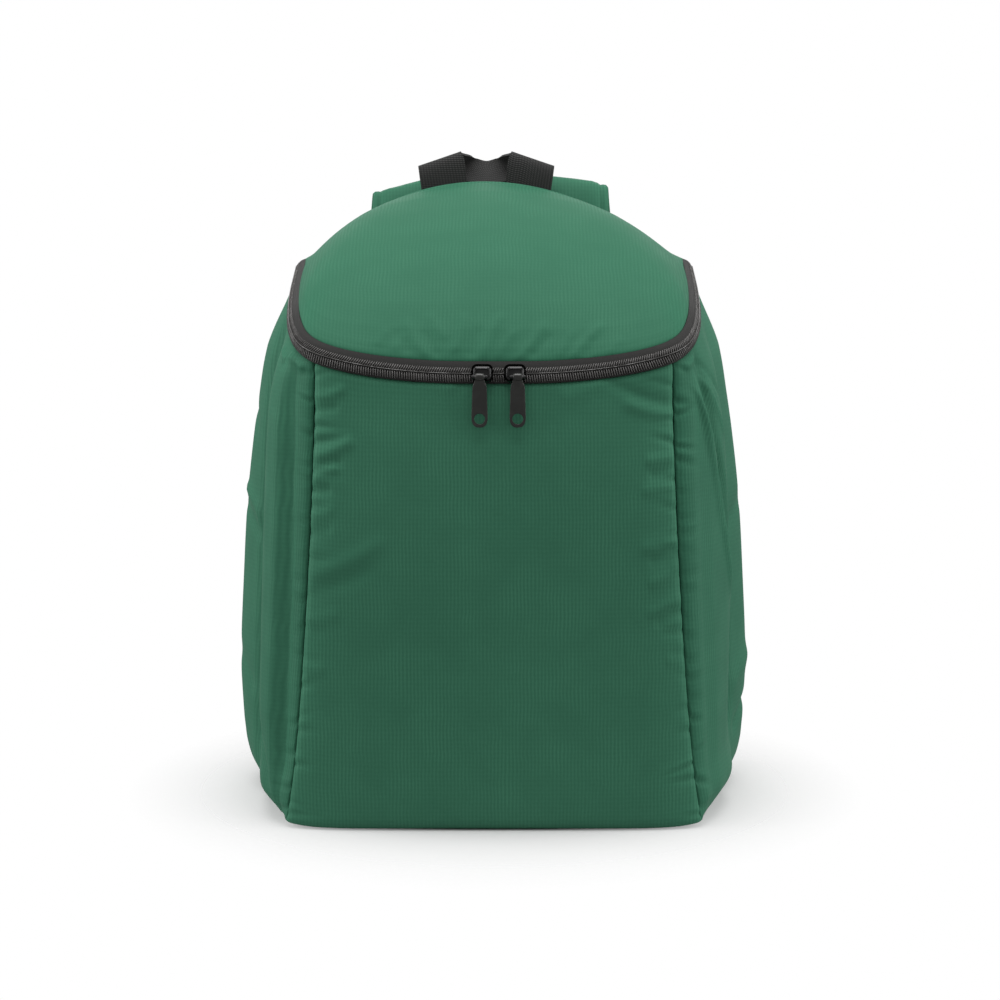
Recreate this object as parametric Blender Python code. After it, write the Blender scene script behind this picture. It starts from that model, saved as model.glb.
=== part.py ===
# Cooler backpack standing on its base, front towards -Y, metres, +Z up.
import math

import bpy
import numpy as np

for old in list(bpy.data.objects):
    bpy.data.objects.remove(old, do_unlink=True)

# Driving sizes
HALF_WIDTH = 0.147        # widest half of the bag, at the back lobes of the gussets
DEPTH = 0.160             # front panel to back panel, halfway between them at y = 0
BACK_FACE = DEPTH * 0.4875  # plane where gussets, lid and base end against the back panel
ZIP_HEIGHT = 0.253        # zip centre line at the middle of the front
ZIP_RISE = 0.047          # from there to its ends at the back
ARCH_RADIUS = 0.1465      # round top of the back panel
ARCH_TOP = ZIP_HEIGHT + 0.097
ARCH_LEAN = -0.003        # sideways, at its top
LID_ARCH_START = ZIP_HEIGHT + 0.060   # height where the lid's back edge begins
SEAM_CORNER = 5           # row of the zip table where the front seams meet the zip
WALL = 0.005              # padded cloth: front, lid
SIDE_WALL = 0.004         # padded cloth: gussets
BACK_WALL = 0.005
GAP = 0.0003              # between neighbours
SEAM_HALF_GAP = 0.0002
CHAIN_HALF = 0.0035       # zip chain, half of its width
CHAIN_THICK = 0.0022
TAPE_THICK = 0.0014
UPPER_TAPE = 0.0047       # width that shows
LOWER_TAPE = 0.0037
SWELL = 0.0135            # gusset lobes
PUFF = 0.019              # lid dome
WEB_WIDTH = 0.0254        # handle webbing, also the unit of its table
WEB_THICK = 0.0018
STRAP_WIDTH = 0.062
STRAP_THICK = 0.008
STRAP_BOW = 0.040         # how far a shoulder strap stands off the back
STRAP_SPREAD = 0.029      # how far its lower end moves outwards
TAIL_WIDTH = 0.020
PULL_WIDTH = 0.0088
PULL_DROP = 0.0275        # from the hinge bar to the end of the tab
PULL_THICK = 0.0014
SLIDER_LONG = 0.0100
BAR_RADIUS = 0.0007
BAR_RAISE = 0.0066        # hinge bar in front of the chain's base
BAR_BELOW = 0.0030        # and below its centre line
EYE_CLEAR = 0.0004
SLIDER_MIDDLE = 0.0026    # the two sliders stand nose to nose about this x
SLIDER_OFF = 0.0101

# Zip centre line from the middle of the front to the back, and how far it faces up
ZIP_ROWS = (
    # across   depth    rise     degrees
    (0.0000,  -0.4594,  0.0000, 20),
    (0.2041,  -0.4581,  0.0064, 20),
    (0.3810,  -0.4550,  0.0489, 21),
    (0.5063,  -0.4500,  0.1053, 24),
    (0.6026,  -0.4375,  0.1723, 28),
    (0.6704,  -0.4125,  0.2426, 34),
    (0.7181,  -0.3625,  0.3298, 40),
    (0.7480,  -0.2812,  0.4447, 45),
    (0.7677,  -0.1500,  0.5809, 47),
    (0.7830,   0.1250,  0.7617, 48),
    (0.7857,   0.4875,  1.0000, 48),
)

# Front and base strip, downwards from under the zip and back along the base: its side seam and
# its middle
STRIP_ROWS = (
    # seam x   seam y   seam z   mid y    mid z   edge power
    (0.6687,  -0.4313, 0.9249,  -0.4800, 0.9170, 5.0),
    (0.6748,  -0.4531, 0.8103,  -0.4969, 0.8024, 6.0),
    (0.6939,  -0.4656, 0.5929,  -0.5094, 0.5850, 7.0),
    (0.7245,  -0.4688, 0.3360,  -0.5125, 0.3360, 7.0),
    (0.7517,  -0.4625, 0.1660,  -0.5094, 0.1581, 7.0),
    (0.7755,  -0.4562, 0.0632,  -0.5031, 0.0514, 7.0),
    (0.7925,  -0.4387, 0.0158,  -0.4862, 0.0087, 10.0),
    (0.7993,  -0.3812, 0.0138,  -0.4313, 0.0000, 10.0),
    (0.8401,  -0.1875, 0.0138,  -0.2000, 0.0000, 12.0),
    (0.8810,  -0.0125, 0.0138,  -0.0187, 0.0000, 12.0),
    (0.9150,   0.1562, 0.0138,   0.1562, 0.0000, 12.0),
    (0.9286,   0.3000, 0.0138,   0.3000, 0.0000, 12.0),
    (0.9116,   0.4125, 0.0150,   0.4125, 0.0000, 10.0),
    (0.8673,   0.4875, 0.0217,   0.4875, 0.0119, 6.0),
)
CORNER_ROW = 7            # where the seam turns from the front under the side
LAST_ROW = len(STRIP_ROWS)

# Back edge of a gusset, bottom to top
BACK_EDGE = (
    # across  height
    (0.8673, 0.0217),
    (0.9048, 0.1186),
    (0.9184, 0.2767),
    (0.9184, 0.4743),
    (0.9082, 0.6719),
    (0.8844, 0.8696),
    (0.8469, 1.0474),
    (0.8041, 1.1565),
)

# How far a gusset swells out between its seams: a row for each height, a column for each fold
SWELL_ACROSS = (0.0, 0.05, 0.16, 0.40, 0.54, 0.78, 1.0)
SWELL_ROWS = (
    # height seam roll   valley lobe   crease lobe   back
    (0.00, 0.0, 0.000, 0.000, 0.000, 0.000, 0.000, 0.0),
    (0.05, 0.0, 0.185, 0.333, 0.593, 0.296, 0.370, 0.0),
    (0.12, 0.0, 0.259, 0.481, 0.815, 0.407, 0.556, 0.0),
    (0.25, 0.0, 0.296, 0.519, 0.963, 0.407, 0.704, 0.0),
    (0.42, 0.0, 0.296, 0.481, 1.000, 0.407, 0.704, 0.0),
    (0.60, 0.0, 0.296, 0.444, 1.000, 0.444, 0.704, 0.0),
    (0.78, 0.0, 0.281, 0.407, 0.926, 0.481, 0.593, 0.0),
    (0.90, 0.0, 0.259, 0.370, 0.815, 0.556, 0.667, 0.0),
    (1.00, 0.0, 0.000, 0.000, 0.000, 0.000, 0.000, 0.0),
)

# Dome of the lid between the zip and the arch
PUFF_ROWS = (
    # way  puff
    (0.00, 0.00),
    (0.05, 0.24),
    (0.12, 0.50),
    (0.22, 0.76),
    (0.36, 0.95),
    (0.52, 1.00),
    (0.68, 0.90),
    (0.82, 0.66),
    (0.93, 0.32),
    (1.00, 0.00),
)
DOME_MIDDLE = (0.0, DEPTH * 0.19, ZIP_HEIGHT * 0.75)   # the dome puffs away from here

# Carry handle: lower and upper edge of the webbing, from the left end to its middle
HANDLE_SHIFT = -0.0047
HANDLE_FOOT = (GAP + WEB_THICK / 2) / WEB_WIDTH
HANDLE_ROWS = (
    # lower x  off back    height   upper x  off back    height, heights from the arch's top
    (-1.575, HANDLE_FOOT, -1.102, -0.575, HANDLE_FOOT, -1.102),
    (-1.575, HANDLE_FOOT, -0.394, -0.575, HANDLE_FOOT, -0.394),
    (-1.571, 0.055, 0.118, -0.567, 0.055, 0.433),
    (-1.563, 0.126, 0.335, -0.559, 0.126, 0.654),
    (-1.535, 0.217, 0.236, -0.531, 0.228, 0.630),
    (-1.299, 0.264, 0.020, -0.374, 0.461, 0.590),
    (-0.748, 0.264, -0.060, -0.217, 0.815, 0.520),
    (0.000, 0.244, -0.090, 0.000, 1.071, 0.470),
)

# Shoulder strap: middle line of the padded part from its sewn end, then of its webbing tail,
# in shares of the bow, the arch's top and the spread
STRAP_ACROSS = {-1: 0.0415, 1: 0.0370}
STRAP_FOOT = (GAP + STRAP_THICK / 2) / STRAP_BOW
STRAP_LEAN = {-1: 0.15, 1: 0.04}
STRAP_SAG = {-1: -0.0022, 1: -0.0040}
STRAP_ROWS = (
    # off back   height  out     how much it leans and sags
    (STRAP_FOOT, 0.8143, 0.000, 0.0),
    (STRAP_FOOT, 0.8571, 0.000, 0.0),
    (0.170, 0.9086, 0.000, 0.2),
    (0.250, 0.9457, 0.000, 0.7),
    (0.438, 0.9786, 0.000, 1.0),
    (0.662, 0.9686, 0.017, 1.0),
    (0.800, 0.9257, 0.069, 0.7),
    (0.900, 0.8429, 0.207, 0.2),
    (0.988, 0.7143, 0.448, 0.0),
    (1.000, 0.5714, 0.690, 0.0),
    (0.912, 0.4429, 0.862, 0.0),
    (0.750, 0.3286, 1.000, 0.0),
)
TAIL_LAP = (10.3, 11.0)   # where the tail lies against the strap
TAIL_FOOT = (GAP + WEB_THICK / 2) / STRAP_BOW
TAIL_ROWS = (
    # off back  height  out
    (0.662, 0.2514, 1.103),
    (0.325, 0.1771, 1.276),
    (0.087, 0.1286, 1.414),
    (TAIL_FOOT, 0.1029, 1.448),
    (TAIL_FOOT, 0.0543, 1.483),
)

Z = np.array((0.0, 0.0, 1.0))
Y = np.array((0.0, 1.0, 0.0))
FLAT = np.array((1.0, 0.0, 1.0))
made = []


def unit(v):
    v = np.asarray(v, float)
    return v / np.linalg.norm(v)


def along(rows, t):
    """Smooth line through the rows, one row for each whole number of t."""
    last = len(rows) - 1
    i = int(min(max(math.floor(t), 0), last - 1))
    f = t - i
    p1, p2 = np.asarray(rows[i], float), np.asarray(rows[i + 1], float)
    p0 = np.asarray(rows[i - 1], float) if i else 2 * p1 - p2
    p3 = np.asarray(rows[i + 2], float) if i + 2 <= last else 2 * p2 - p1
    bend = 2 * p0 - 5 * p1 + 4 * p2 - p3
    turn = 3 * p1 - p0 - 3 * p2 + p3
    return 0.5 * (2 * p1 + (p2 - p0) * f + bend * f * f + turn * f**3)


def at_share(rows, share):
    """Row values at a share given by each row's first column."""
    shares = [row[0] for row in rows]
    i = min(max(int(np.searchsorted(shares, share, side="right")) - 1, 0), len(rows) - 2)
    f = (share - shares[i]) / (shares[i + 1] - shares[i])
    return along([row[1:] for row in rows], i + f)


def material(name, colour, roughness, metallic=0.0):
    made_of = bpy.data.materials.new(name)
    made_of.use_nodes = True
    shader = made_of.node_tree.nodes["Principled BSDF"]
    shader.inputs["Base Color"].default_value = (*colour, 1.0)
    shader.inputs["Roughness"].default_value = roughness
    shader.inputs["Metallic"].default_value = metallic
    return made_of


def new_object(name, points, faces, made_of, smooth=True):
    mesh = bpy.data.meshes.new(name)
    mesh.from_pydata([tuple(p) for p in points], [], [tuple(f) for f in faces])
    mesh.polygons.foreach_set("use_smooth", [smooth] * len(mesh.polygons))
    mesh.materials.append(made_of)
    mesh.update()
    made_object = bpy.data.objects.new(name, mesh)
    bpy.context.collection.objects.link(made_object)
    made.append(made_object)
    return made_object


# Zip centre line and its frame
HALF_ZIP = [(x * HALF_WIDTH, y * DEPTH, ZIP_HEIGHT + z * ZIP_RISE) for x, y, z, _ in ZIP_ROWS]
FULL_ZIP = [(-x, y, z) for x, y, z in HALF_ZIP[:0:-1]] + HALF_ZIP
ZIP_END = len(ZIP_ROWS) - 1


def zip_at(t):
    """Point, direction, outward and upward unit vectors of the zip, t from -ZIP_END to ZIP_END."""
    point = along(FULL_ZIP, t + ZIP_END)
    ahead = along(FULL_ZIP, t + ZIP_END + 0.02) - along(FULL_ZIP, t + ZIP_END - 0.02)
    run = unit(ahead)
    out = unit(np.cross(run, Z))
    tilt = math.radians(along([row[3:] for row in ZIP_ROWS], abs(t))[0])
    face = out * math.cos(tilt) + Z * math.sin(tilt)
    face = unit(face - run * face.dot(run))
    up = np.cross(face, run)
    return point, run, face, up


def zip_edge(t, rise, lift=0.0):
    point, _, face, up = zip_at(t)
    edge = point + up * rise + face * lift
    if abs(t) == ZIP_END:
        edge[1] = BACK_FACE
    return edge


def zip_end(t):
    """Plane across the zip, and the way in under it, for the pieces that it is sewn to."""
    _, _, face, up = zip_at(t)
    return up, -face


def shell(name, grid, wall, planes, made_of):
    """Padded sheet: the outer grid and its copy a wall further in, closed round its four edges.

    planes holds, for the first and last row and column, the normals of the planes that the
    edges end in, so that neighbours share them, and at a seam the way into the wall as well."""
    rows, columns = grid.shape[:2]
    down = np.gradient(grid, axis=0)
    over = np.gradient(grid, axis=1)
    normal = np.cross(over, down)
    normal /= np.linalg.norm(normal, axis=2, keepdims=True)
    core = np.array((0.0, 0.0, ZIP_HEIGHT * 0.75))
    if (normal * (grid - core)).sum() < 0:
        normal = -normal
    inner = grid - normal * wall
    for i in range(rows):
        for j in range(columns):
            ends = []
            if i == 0:
                ends.append(planes["first_row"][j])
            if i == rows - 1:
                ends.append(planes["last_row"][j])
            if j == 0:
                ends.append(planes["first_column"][i])
            if j == columns - 1:
                ends.append(planes["last_column"][i])
            if not ends:
                continue
            inward = -normal[i, j]
            ways = [end[1] for end in ends if isinstance(end, tuple)]
            ends = [end[0] if isinstance(end, tuple) else end for end in ends]
            if ways and len(ends) == 2 and max(abs(end[1]) for end in ends) > 0.99:
                way = unit(ways[0] * FLAT)
            elif len(ends) == 2 and abs(ends[0].dot(ends[1])) < 0.99:
                way = unit(np.cross(ends[0], ends[1]))
                if way.dot(inward) < 0:
                    way = -way
            elif ways:
                way = ways[0]
            else:
                way = inward - ends[0] * inward.dot(ends[0])
                if np.linalg.norm(way) < 0.6:
                    inward = unit(core - grid[i, j])
                    way = inward - ends[0] * inward.dot(ends[0])
                way = unit(way)
            inner[i, j] = grid[i, j] + way * wall / max(way.dot(inward), 0.6)
    points = np.concatenate([grid.reshape(-1, 3), inner.reshape(-1, 3)])
    count = rows * columns
    faces = []
    for i in range(rows - 1):
        for j in range(columns - 1):
            a, b = i * columns + j, i * columns + j + 1
            c, d = b + columns, a + columns
            faces.append((a, b, c, d))
            faces.append((a + count, d + count, c + count, b + count))
    border = [(0, j) for j in range(columns)]
    border += [(i, columns - 1) for i in range(1, rows)]
    border += [(rows - 1, j) for j in range(columns - 2, -1, -1)]
    border += [(i, 0) for i in range(rows - 2, 0, -1)]
    ring = [i * columns + j for i, j in border]
    for a, b in zip(ring, ring[1:] + ring[:1]):
        faces.append((b, a, a + count, b + count))
    if normal_faces_in(points, faces):
        faces = [face[::-1] for face in faces]
    return new_object(name, points, faces, made_of)


def normal_faces_in(points, faces):
    """True where the closed mesh is inside out."""
    volume = 0.0
    for face in faces:
        a = points[face[0]]
        for b, c in zip(face[1:-1], face[2:]):
            volume += a.dot(np.cross(points[b], points[c]))
    return volume < 0


def sweep(name, sections, made_of, smooth=True):
    """Closed solid through equal rings of points."""
    ring = len(sections[0])
    points = np.concatenate([np.asarray(s, float) for s in sections])
    faces = []
    for i in range(len(sections) - 1):
        for j in range(ring):
            k = (j + 1) % ring
            a, b = i * ring, (i + 1) * ring
            faces.append((a + j, a + k, b + k, b + j))
    faces.append(tuple(range(ring))[::-1])
    faces.append(tuple((len(sections) - 1) * ring + j for j in range(ring)))
    if normal_faces_in(points, faces):
        faces = [face[::-1] for face in faces]
    return new_object(name, points, faces, made_of, smooth)


# Side seam of the strip, from the zip down the front and back along the base
LOWER_EDGE = -(CHAIN_HALF + GAP + LOWER_TAPE + GAP)
UPPER_EDGE = CHAIN_HALF + GAP + UPPER_TAPE + GAP + 0.0002
SEAM_ROWS = [tuple(zip_edge(SEAM_CORNER, LOWER_EDGE))]
MIDDLE_ROWS = [(*zip_edge(0, LOWER_EDGE)[1:], 4.0)]
for seam_x, seam_y, seam_z, mid_y, mid_z, power in STRIP_ROWS:
    SEAM_ROWS.append((seam_x * HALF_WIDTH, seam_y * DEPTH, seam_z * ZIP_HEIGHT))
    MIDDLE_ROWS.append((mid_y * DEPTH, mid_z * ZIP_HEIGHT, power))


def strip_seam(t, side):
    x, y, z = along(SEAM_ROWS, t)
    return np.array((side * x, y, z))


def strip_middle(t):
    y, z, power = along(MIDDLE_ROWS, t)
    flat = CORNER_ROW + 1 <= t <= LAST_ROW - 1
    return y, (0.0 if flat else max(z, 0.0)), power


def seam_inward(t, side):
    """Way from the seam into the wall, shared by the strip and the gusset."""
    turn = min(max((t - CORNER_ROW + 1.5) / 2.0, 0.0), 1.0)
    way = unit((-0.72, 0.69 * (1 - turn), 0.69 * turn))
    return way * np.array((side, 1.0, 1.0))


def seam_plane(t, side):
    """Normal, towards the gusset, of the plane in which the strip and the gusset meet."""
    run = unit(strip_seam(t + 0.05, 1) - strip_seam(t - 0.05, 1))
    plane = unit(np.cross(run, seam_inward(t, 1)))
    if plane[0] < 0:
        plane = -plane
    return plane * np.array((side, 1.0, 1.0))


def seam_end(t, side):
    return seam_plane(t, side), seam_inward(t, side)


def stations(first, last, parts):
    return [first + (last - first) * i / parts for i in range(parts + 1)]


GREEN_FRONT = material("green_front_cloth", (0.040, 0.110, 0.070), 0.62)
GREEN_SIDE = material("green_side_cloth", (0.050, 0.150, 0.100), 0.62)
GREEN_SIDE_R = material("green_side_cloth_right", (0.050, 0.150, 0.100), 0.62)
GREEN_LID = material("green_lid_cloth", (0.065, 0.200, 0.130), 0.60)
GREEN_BACK = material("green_back_cloth", (0.045, 0.130, 0.085), 0.65)
GREEN_STRAP_L = material("green_strap_left", (0.050, 0.150, 0.100), 0.65)
GREEN_STRAP_R = material("green_strap_right", (0.050, 0.150, 0.100), 0.65)
TAPE_BLACK = material("black_tape_upper", (0.030, 0.031, 0.030), 0.60)
TAPE_BLACK_L = material("black_tape_lower", (0.030, 0.031, 0.030), 0.60)
COIL_BLACK = material("black_coil", (0.020, 0.021, 0.020), 0.38)
WEB_BLACK = material("black_handle_webbing", (0.028, 0.028, 0.027), 0.70)
TAIL_BLACK_L = material("black_tail_left", (0.028, 0.028, 0.027), 0.70)
TAIL_BLACK_R = material("black_tail_right", (0.028, 0.028, 0.027), 0.70)
SLIDER_BLACK_L = material("black_slider_left", (0.012, 0.012, 0.011), 0.28, 0.7)
SLIDER_BLACK_R = material("black_slider_right", (0.012, 0.012, 0.011), 0.28, 0.7)
PULL_BLACK_L = material("black_pull_left", (0.012, 0.012, 0.010), 0.32)
PULL_BLACK_R = material("black_pull_right", (0.012, 0.012, 0.010), 0.32)

# Front panel, rolling under as the base
ACROSS = 20
TURNS = stations(-SEAM_CORNER, SEAM_CORNER, ACROSS)
FRONT_STEPS = (0.0, 0.35, 0.7, 1.1, 1.5, 2.0, 2.5, 3.0, 3.5, 4.0, 4.5, 5.0, 5.4, 5.8, 6.2, 6.6, 7.0)
UNDER_STEPS = (7.35, 7.7, 8.0, 8.5, 9.0, 9.6, 10.2, 10.8, 11.4, 12.0, 12.5, 13.0, 13.35, 13.7, 14.0)
STEPS = FRONT_STEPS + UNDER_STEPS
corner_x = zip_at(SEAM_CORNER)[0][0]
front_grid = np.zeros((len(STEPS), ACROSS + 1, 3))
for i, t in enumerate(STEPS):
    mid_y, mid_z, power = strip_middle(t)
    seam = strip_seam(t, 1)
    for j, turn in enumerate(TURNS):
        share = zip_at(turn)[0][0] / corner_x
        edge = abs(share) ** power
        rise = mid_z + (seam[2] - mid_z) * edge
        front_grid[i, j] = (seam[0] * share, mid_y + (seam[1] - mid_y) * edge, rise)
top_row = np.array([zip_edge(turn, LOWER_EDGE) for turn in TURNS])
to_zip = top_row - front_grid[0]
for i, t in enumerate(STEPS):
    front_grid[i] += to_zip * max(0.0, 1.0 - t / 2.0) ** 1.5
for i, t in enumerate(STEPS):
    front_grid[i, 0] -= seam_plane(t, -1) * SEAM_HALF_GAP
    front_grid[i, -1] -= seam_plane(t, 1) * SEAM_HALF_GAP
shell("front_panel", front_grid, WALL, {
    "first_row": [zip_end(turn) for turn in TURNS],
    "last_row": [Y] * len(TURNS),
    "first_column": [seam_end(t, -1) for t in STEPS],
    "last_column": [seam_end(t, 1) for t in STEPS],
}, GREEN_FRONT)


# Side gussets: a smooth patch between the four edges, swelling into two lobes with a crease
def find(line, axis, share, first, last):
    """Where the line has covered this share of its way along an axis."""
    start, end = line(first)[axis], line(last)[axis]
    low, high = first, last
    for _ in range(40):
        middle = (low + high) / 2
        if (line(middle)[axis] - start) / (end - start) < share:
            low = middle
        else:
            high = middle
    return (low + high) / 2


def back_edge(height):
    rows = [(z * ZIP_HEIGHT, x * HALF_WIDTH) for x, z in BACK_EDGE]
    return np.array((at_share(rows, height)[0], BACK_FACE, height))


def gusset_swell(up, back):
    row = at_share(SWELL_ROWS, up)
    return at_share(list(zip(SWELL_ACROSS, row)), back)[0] * SWELL


corner = strip_seam(CORNER_ROW, 1)
seam_top = strip_seam(0, 1)
UPS = [(strip_seam(t, 1)[2] - corner[2]) / (seam_top[2] - corner[2]) for t in FRONT_STEPS[::-1]]
UPS[0], UPS[-1] = 0.0, 1.0
BACKS = [0.0] + [(strip_seam(t, 1)[1] - corner[1]) / (BACK_FACE - corner[1]) for t in UNDER_STEPS]
BACKS[-1] = 1.0
TOPS = [find(lambda t: zip_edge(t, LOWER_EDGE), 1, share, SEAM_CORNER, ZIP_END) for share in BACKS]
TOPS[0], TOPS[-1] = SEAM_CORNER, ZIP_END
back_top = zip_edge(ZIP_END, LOWER_EDGE)
back_bottom = strip_seam(LAST_ROW, 1)
gusset_grid = np.zeros((len(UPS), len(BACKS), 3))
for i, up in enumerate(UPS):
    front = strip_seam(FRONT_STEPS[::-1][i], 1)
    rear = back_edge(back_bottom[2] + (back_top[2] - back_bottom[2]) * up)
    if i == len(UPS) - 1:
        rear = back_top
    for j, back in enumerate(BACKS):
        low = strip_seam(((CORNER_ROW,) + UNDER_STEPS)[j], 1)
        high = zip_edge(TOPS[j], LOWER_EDGE)
        sides = front * (1 - back) + rear * back
        ends = low * (1 - up) + high * up
        corners = (corner * (1 - back) + back_bottom * back) * (1 - up)
        corners += (seam_top * (1 - back) + back_top * back) * up
        way = min(back / 0.25, 1.0)
        swell = gusset_swell(up, back) * unit((0.55 + 0.45 * way, -0.6 * (1 - way), 0.0))
        gusset_grid[i, j] = sides + ends - corners + swell
for i, t in enumerate(FRONT_STEPS[::-1]):
    gusset_grid[i, 0] += seam_plane(t, 1) * SEAM_HALF_GAP
for j, t in enumerate(UNDER_STEPS):
    gusset_grid[0, j + 1] += seam_plane(t, 1) * SEAM_HALF_GAP
for side, name, cloth in ((-1, "side_gusset_left", GREEN_SIDE), (1, "side_gusset_right", GREEN_SIDE_R)):
    turned = np.array((side, 1.0, 1.0))
    shell(name, gusset_grid * turned, SIDE_WALL, {
        "first_row": [seam_end(t, side) for t in (CORNER_ROW,) + UNDER_STEPS],
        "last_row": [zip_end(side * t) for t in TOPS],
        "first_column": [seam_end(t, side) for t in FRONT_STEPS[::-1]],
        "last_column": [Y] * len(UPS),
    }, cloth)

# Zip: two tapes with the coil chain between them
ZIP_STEPS = sorted(set([-t for t in TOPS] + TURNS + list(TOPS)))


def zip_strip(name, profile, made_of):
    sections = []
    for t in ZIP_STEPS:
        sections.append([zip_edge(t, rise, lift) for rise, lift in profile])
    return sweep(name, sections, made_of)


TAPE_BACK, TAPE_FACE = -TAPE_THICK + 0.0004, 0.0004
near, far = CHAIN_HALF + GAP, CHAIN_HALF + GAP + UPPER_TAPE
zip_strip("zip_tape_upper", ((near, TAPE_BACK), (near, TAPE_FACE), (far, TAPE_FACE), (far, TAPE_BACK)), TAPE_BLACK)
near, far = -(CHAIN_HALF + GAP), -(CHAIN_HALF + GAP + LOWER_TAPE)
zip_strip("zip_tape_lower", ((near, TAPE_BACK), (near, TAPE_FACE), (far, TAPE_FACE), (far, TAPE_BACK)), TAPE_BLACK_L)
COIL_PROFILE = (
    # share of the half width, share of the thickness
    (-1.0, -0.45), (-1.0, 0.50), (-0.70, 0.90), (-0.18, 1.0),
    (0.18, 1.0), (0.70, 0.90), (1.0, 0.50), (1.0, -0.45),
)
zip_strip("zip_chain", [(CHAIN_HALF * a, CHAIN_THICK * b) for a, b in COIL_PROFILE], COIL_BLACK)

# Lid: a puffed dome from the zip to the arch
ARCH_MIDDLE = ARCH_TOP - ARCH_RADIUS
ARCH_TURN = math.acos((LID_ARCH_START - ARCH_MIDDLE) / ARCH_RADIUS)


def arch_at(turn):
    """Point of the back panel's round top, an angle from its middle."""
    height = ARCH_MIDDLE + ARCH_RADIUS * math.cos(turn)
    lean = ARCH_LEAN * (height - back_top[2]) / (ARCH_TOP - back_top[2])
    return np.array((ARCH_RADIUS * math.sin(turn) + lean, BACK_FACE, height))


lid_edge = np.array([zip_edge(t, UPPER_EDGE) for t in ZIP_STEPS])
way = np.concatenate([[0.0], np.cumsum(np.linalg.norm(np.diff(lid_edge, axis=0), axis=1))])
way /= way[-1]
lid_grid = np.zeros((len(PUFF_ROWS), len(ZIP_STEPS), 3))
for j in range(len(ZIP_STEPS)):
    turn = (2 * way[j] - 1) * ARCH_TURN
    arch = arch_at(turn)
    span = np.linalg.norm(arch - lid_edge[j])
    most = PUFF * (1 - abs(2 * way[j] - 1) ** 1.3)
    for i, (share, puff) in enumerate(PUFF_ROWS):
        point = lid_edge[j] * (1 - share) + arch * share
        lid_grid[i, j] = point + unit(point - np.array(DOME_MIDDLE)) * puff * most
shell("lid", lid_grid, WALL, {
    "first_row": [zip_end(t) for t in ZIP_STEPS],
    "last_row": [Y] * len(ZIP_STEPS),
    "first_column": [(Y, zip_end(-ZIP_END)[1] * FLAT)] * len(PUFF_ROWS),
    "last_column": [(Y, zip_end(ZIP_END)[1] * FLAT)] * len(PUFF_ROWS),
}, GREEN_LID)

# Back panel: flat padded board with the same outline
outline = [back_edge(z * ZIP_HEIGHT) for _, z in BACK_EDGE[:-1]] + [back_top]
for k in range(1, 28):
    turn = math.radians(49.0) * (1 - 2 * k / 28)
    outline.append(arch_at(turn))
left_side = [back_top] + [back_edge(z * ZIP_HEIGHT) for _, z in BACK_EDGE[-2::-1]]
outline += [p * np.array((-1.0, 1.0, 1.0)) for p in left_side]
BOARD_ROWS = (
    # share of the wall  spread
    (0.0, 0.0000),
    (0.2, 0.0010),
    (0.7, 0.0012),
    (0.93, 0.0006),
    (1.0, -0.0010),
)
board_middle = np.array((0.0, 0.0, ARCH_TOP / 2))
sections = []
for share, spread in BOARD_ROWS:
    ring = []
    for p in outline:
        flat = p * np.array((1.0, 0.0, 1.0))
        moved = flat + unit(flat - board_middle) * spread
        ring.append((moved[0], BACK_FACE + GAP + BACK_WALL * share, max(moved[2], 0.0032)))
    sections.append(ring)
sweep("back_panel", sections, GREEN_BACK, smooth=False)
BACK_OUT = BACK_FACE + GAP + BACK_WALL


def ribbon(name, edges, thick, made_of):
    """Flat webbing through pairs of edge points."""
    sections = []
    for k, (low, high) in enumerate(edges):
        before = edges[max(k - 1, 0)]
        after = edges[min(k + 1, len(edges) - 1)]
        run = (after[0] + after[1]) - (before[0] + before[1])
        off = unit(np.cross(run, high - low)) * thick / 2
        sections.append([low - off, high - off, high + off, low + off])
    return sweep(name, sections, made_of)


# Carry handle
half = [np.array(row) for row in HANDLE_ROWS]
mirrored = [row * np.array((-1, 1, 1, -1, 1, 1)) for row in half[-2::-1]]
handle_rows = half + mirrored
edges = []
for t in stations(0.0, len(handle_rows) - 1, 42):
    start = np.array((HANDLE_SHIFT, BACK_OUT, ARCH_TOP) * 2)
    row = along(handle_rows, t) * WEB_WIDTH + start
    edges.append((row[:3], row[3:]))
ribbon("grab_handle", edges, WEB_THICK, WEB_BLACK)

# Shoulder straps and their tails
STRAP_PROFILE = (
    # share of half the width, share of half the thickness
    (-1.0, -0.35), (-1.0, 0.35), (-0.86, 0.90), (-0.45, 1.0), (0.45, 1.0),
    (0.86, 0.90), (1.0, 0.35), (1.0, -0.35), (0.86, -0.90), (0.45, -1.0), (-0.45, -1.0), (-0.86, -0.90),
)


def strap_at(t, side):
    """Middle point, width direction and face direction of a shoulder strap."""
    scale = np.array((STRAP_BOW, ARCH_TOP, STRAP_SPREAD, 1.0))
    off, height, out, much = along(STRAP_ROWS, t) * scale
    ahead = (along(STRAP_ROWS, t + 0.02) - along(STRAP_ROWS, t - 0.02)) * scale
    height -= STRAP_SAG[side] * much
    point = np.array((side * (STRAP_ACROSS[side] + out), BACK_OUT + off, height))
    run = unit((side * ahead[2], ahead[0], ahead[1]))
    wide = unit((side, 0.0, -STRAP_LEAN[side] * much))
    wide = unit(wide - run * wide.dot(run))
    face = unit(np.cross(run, wide)) * -side
    return point, wide, face


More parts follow.
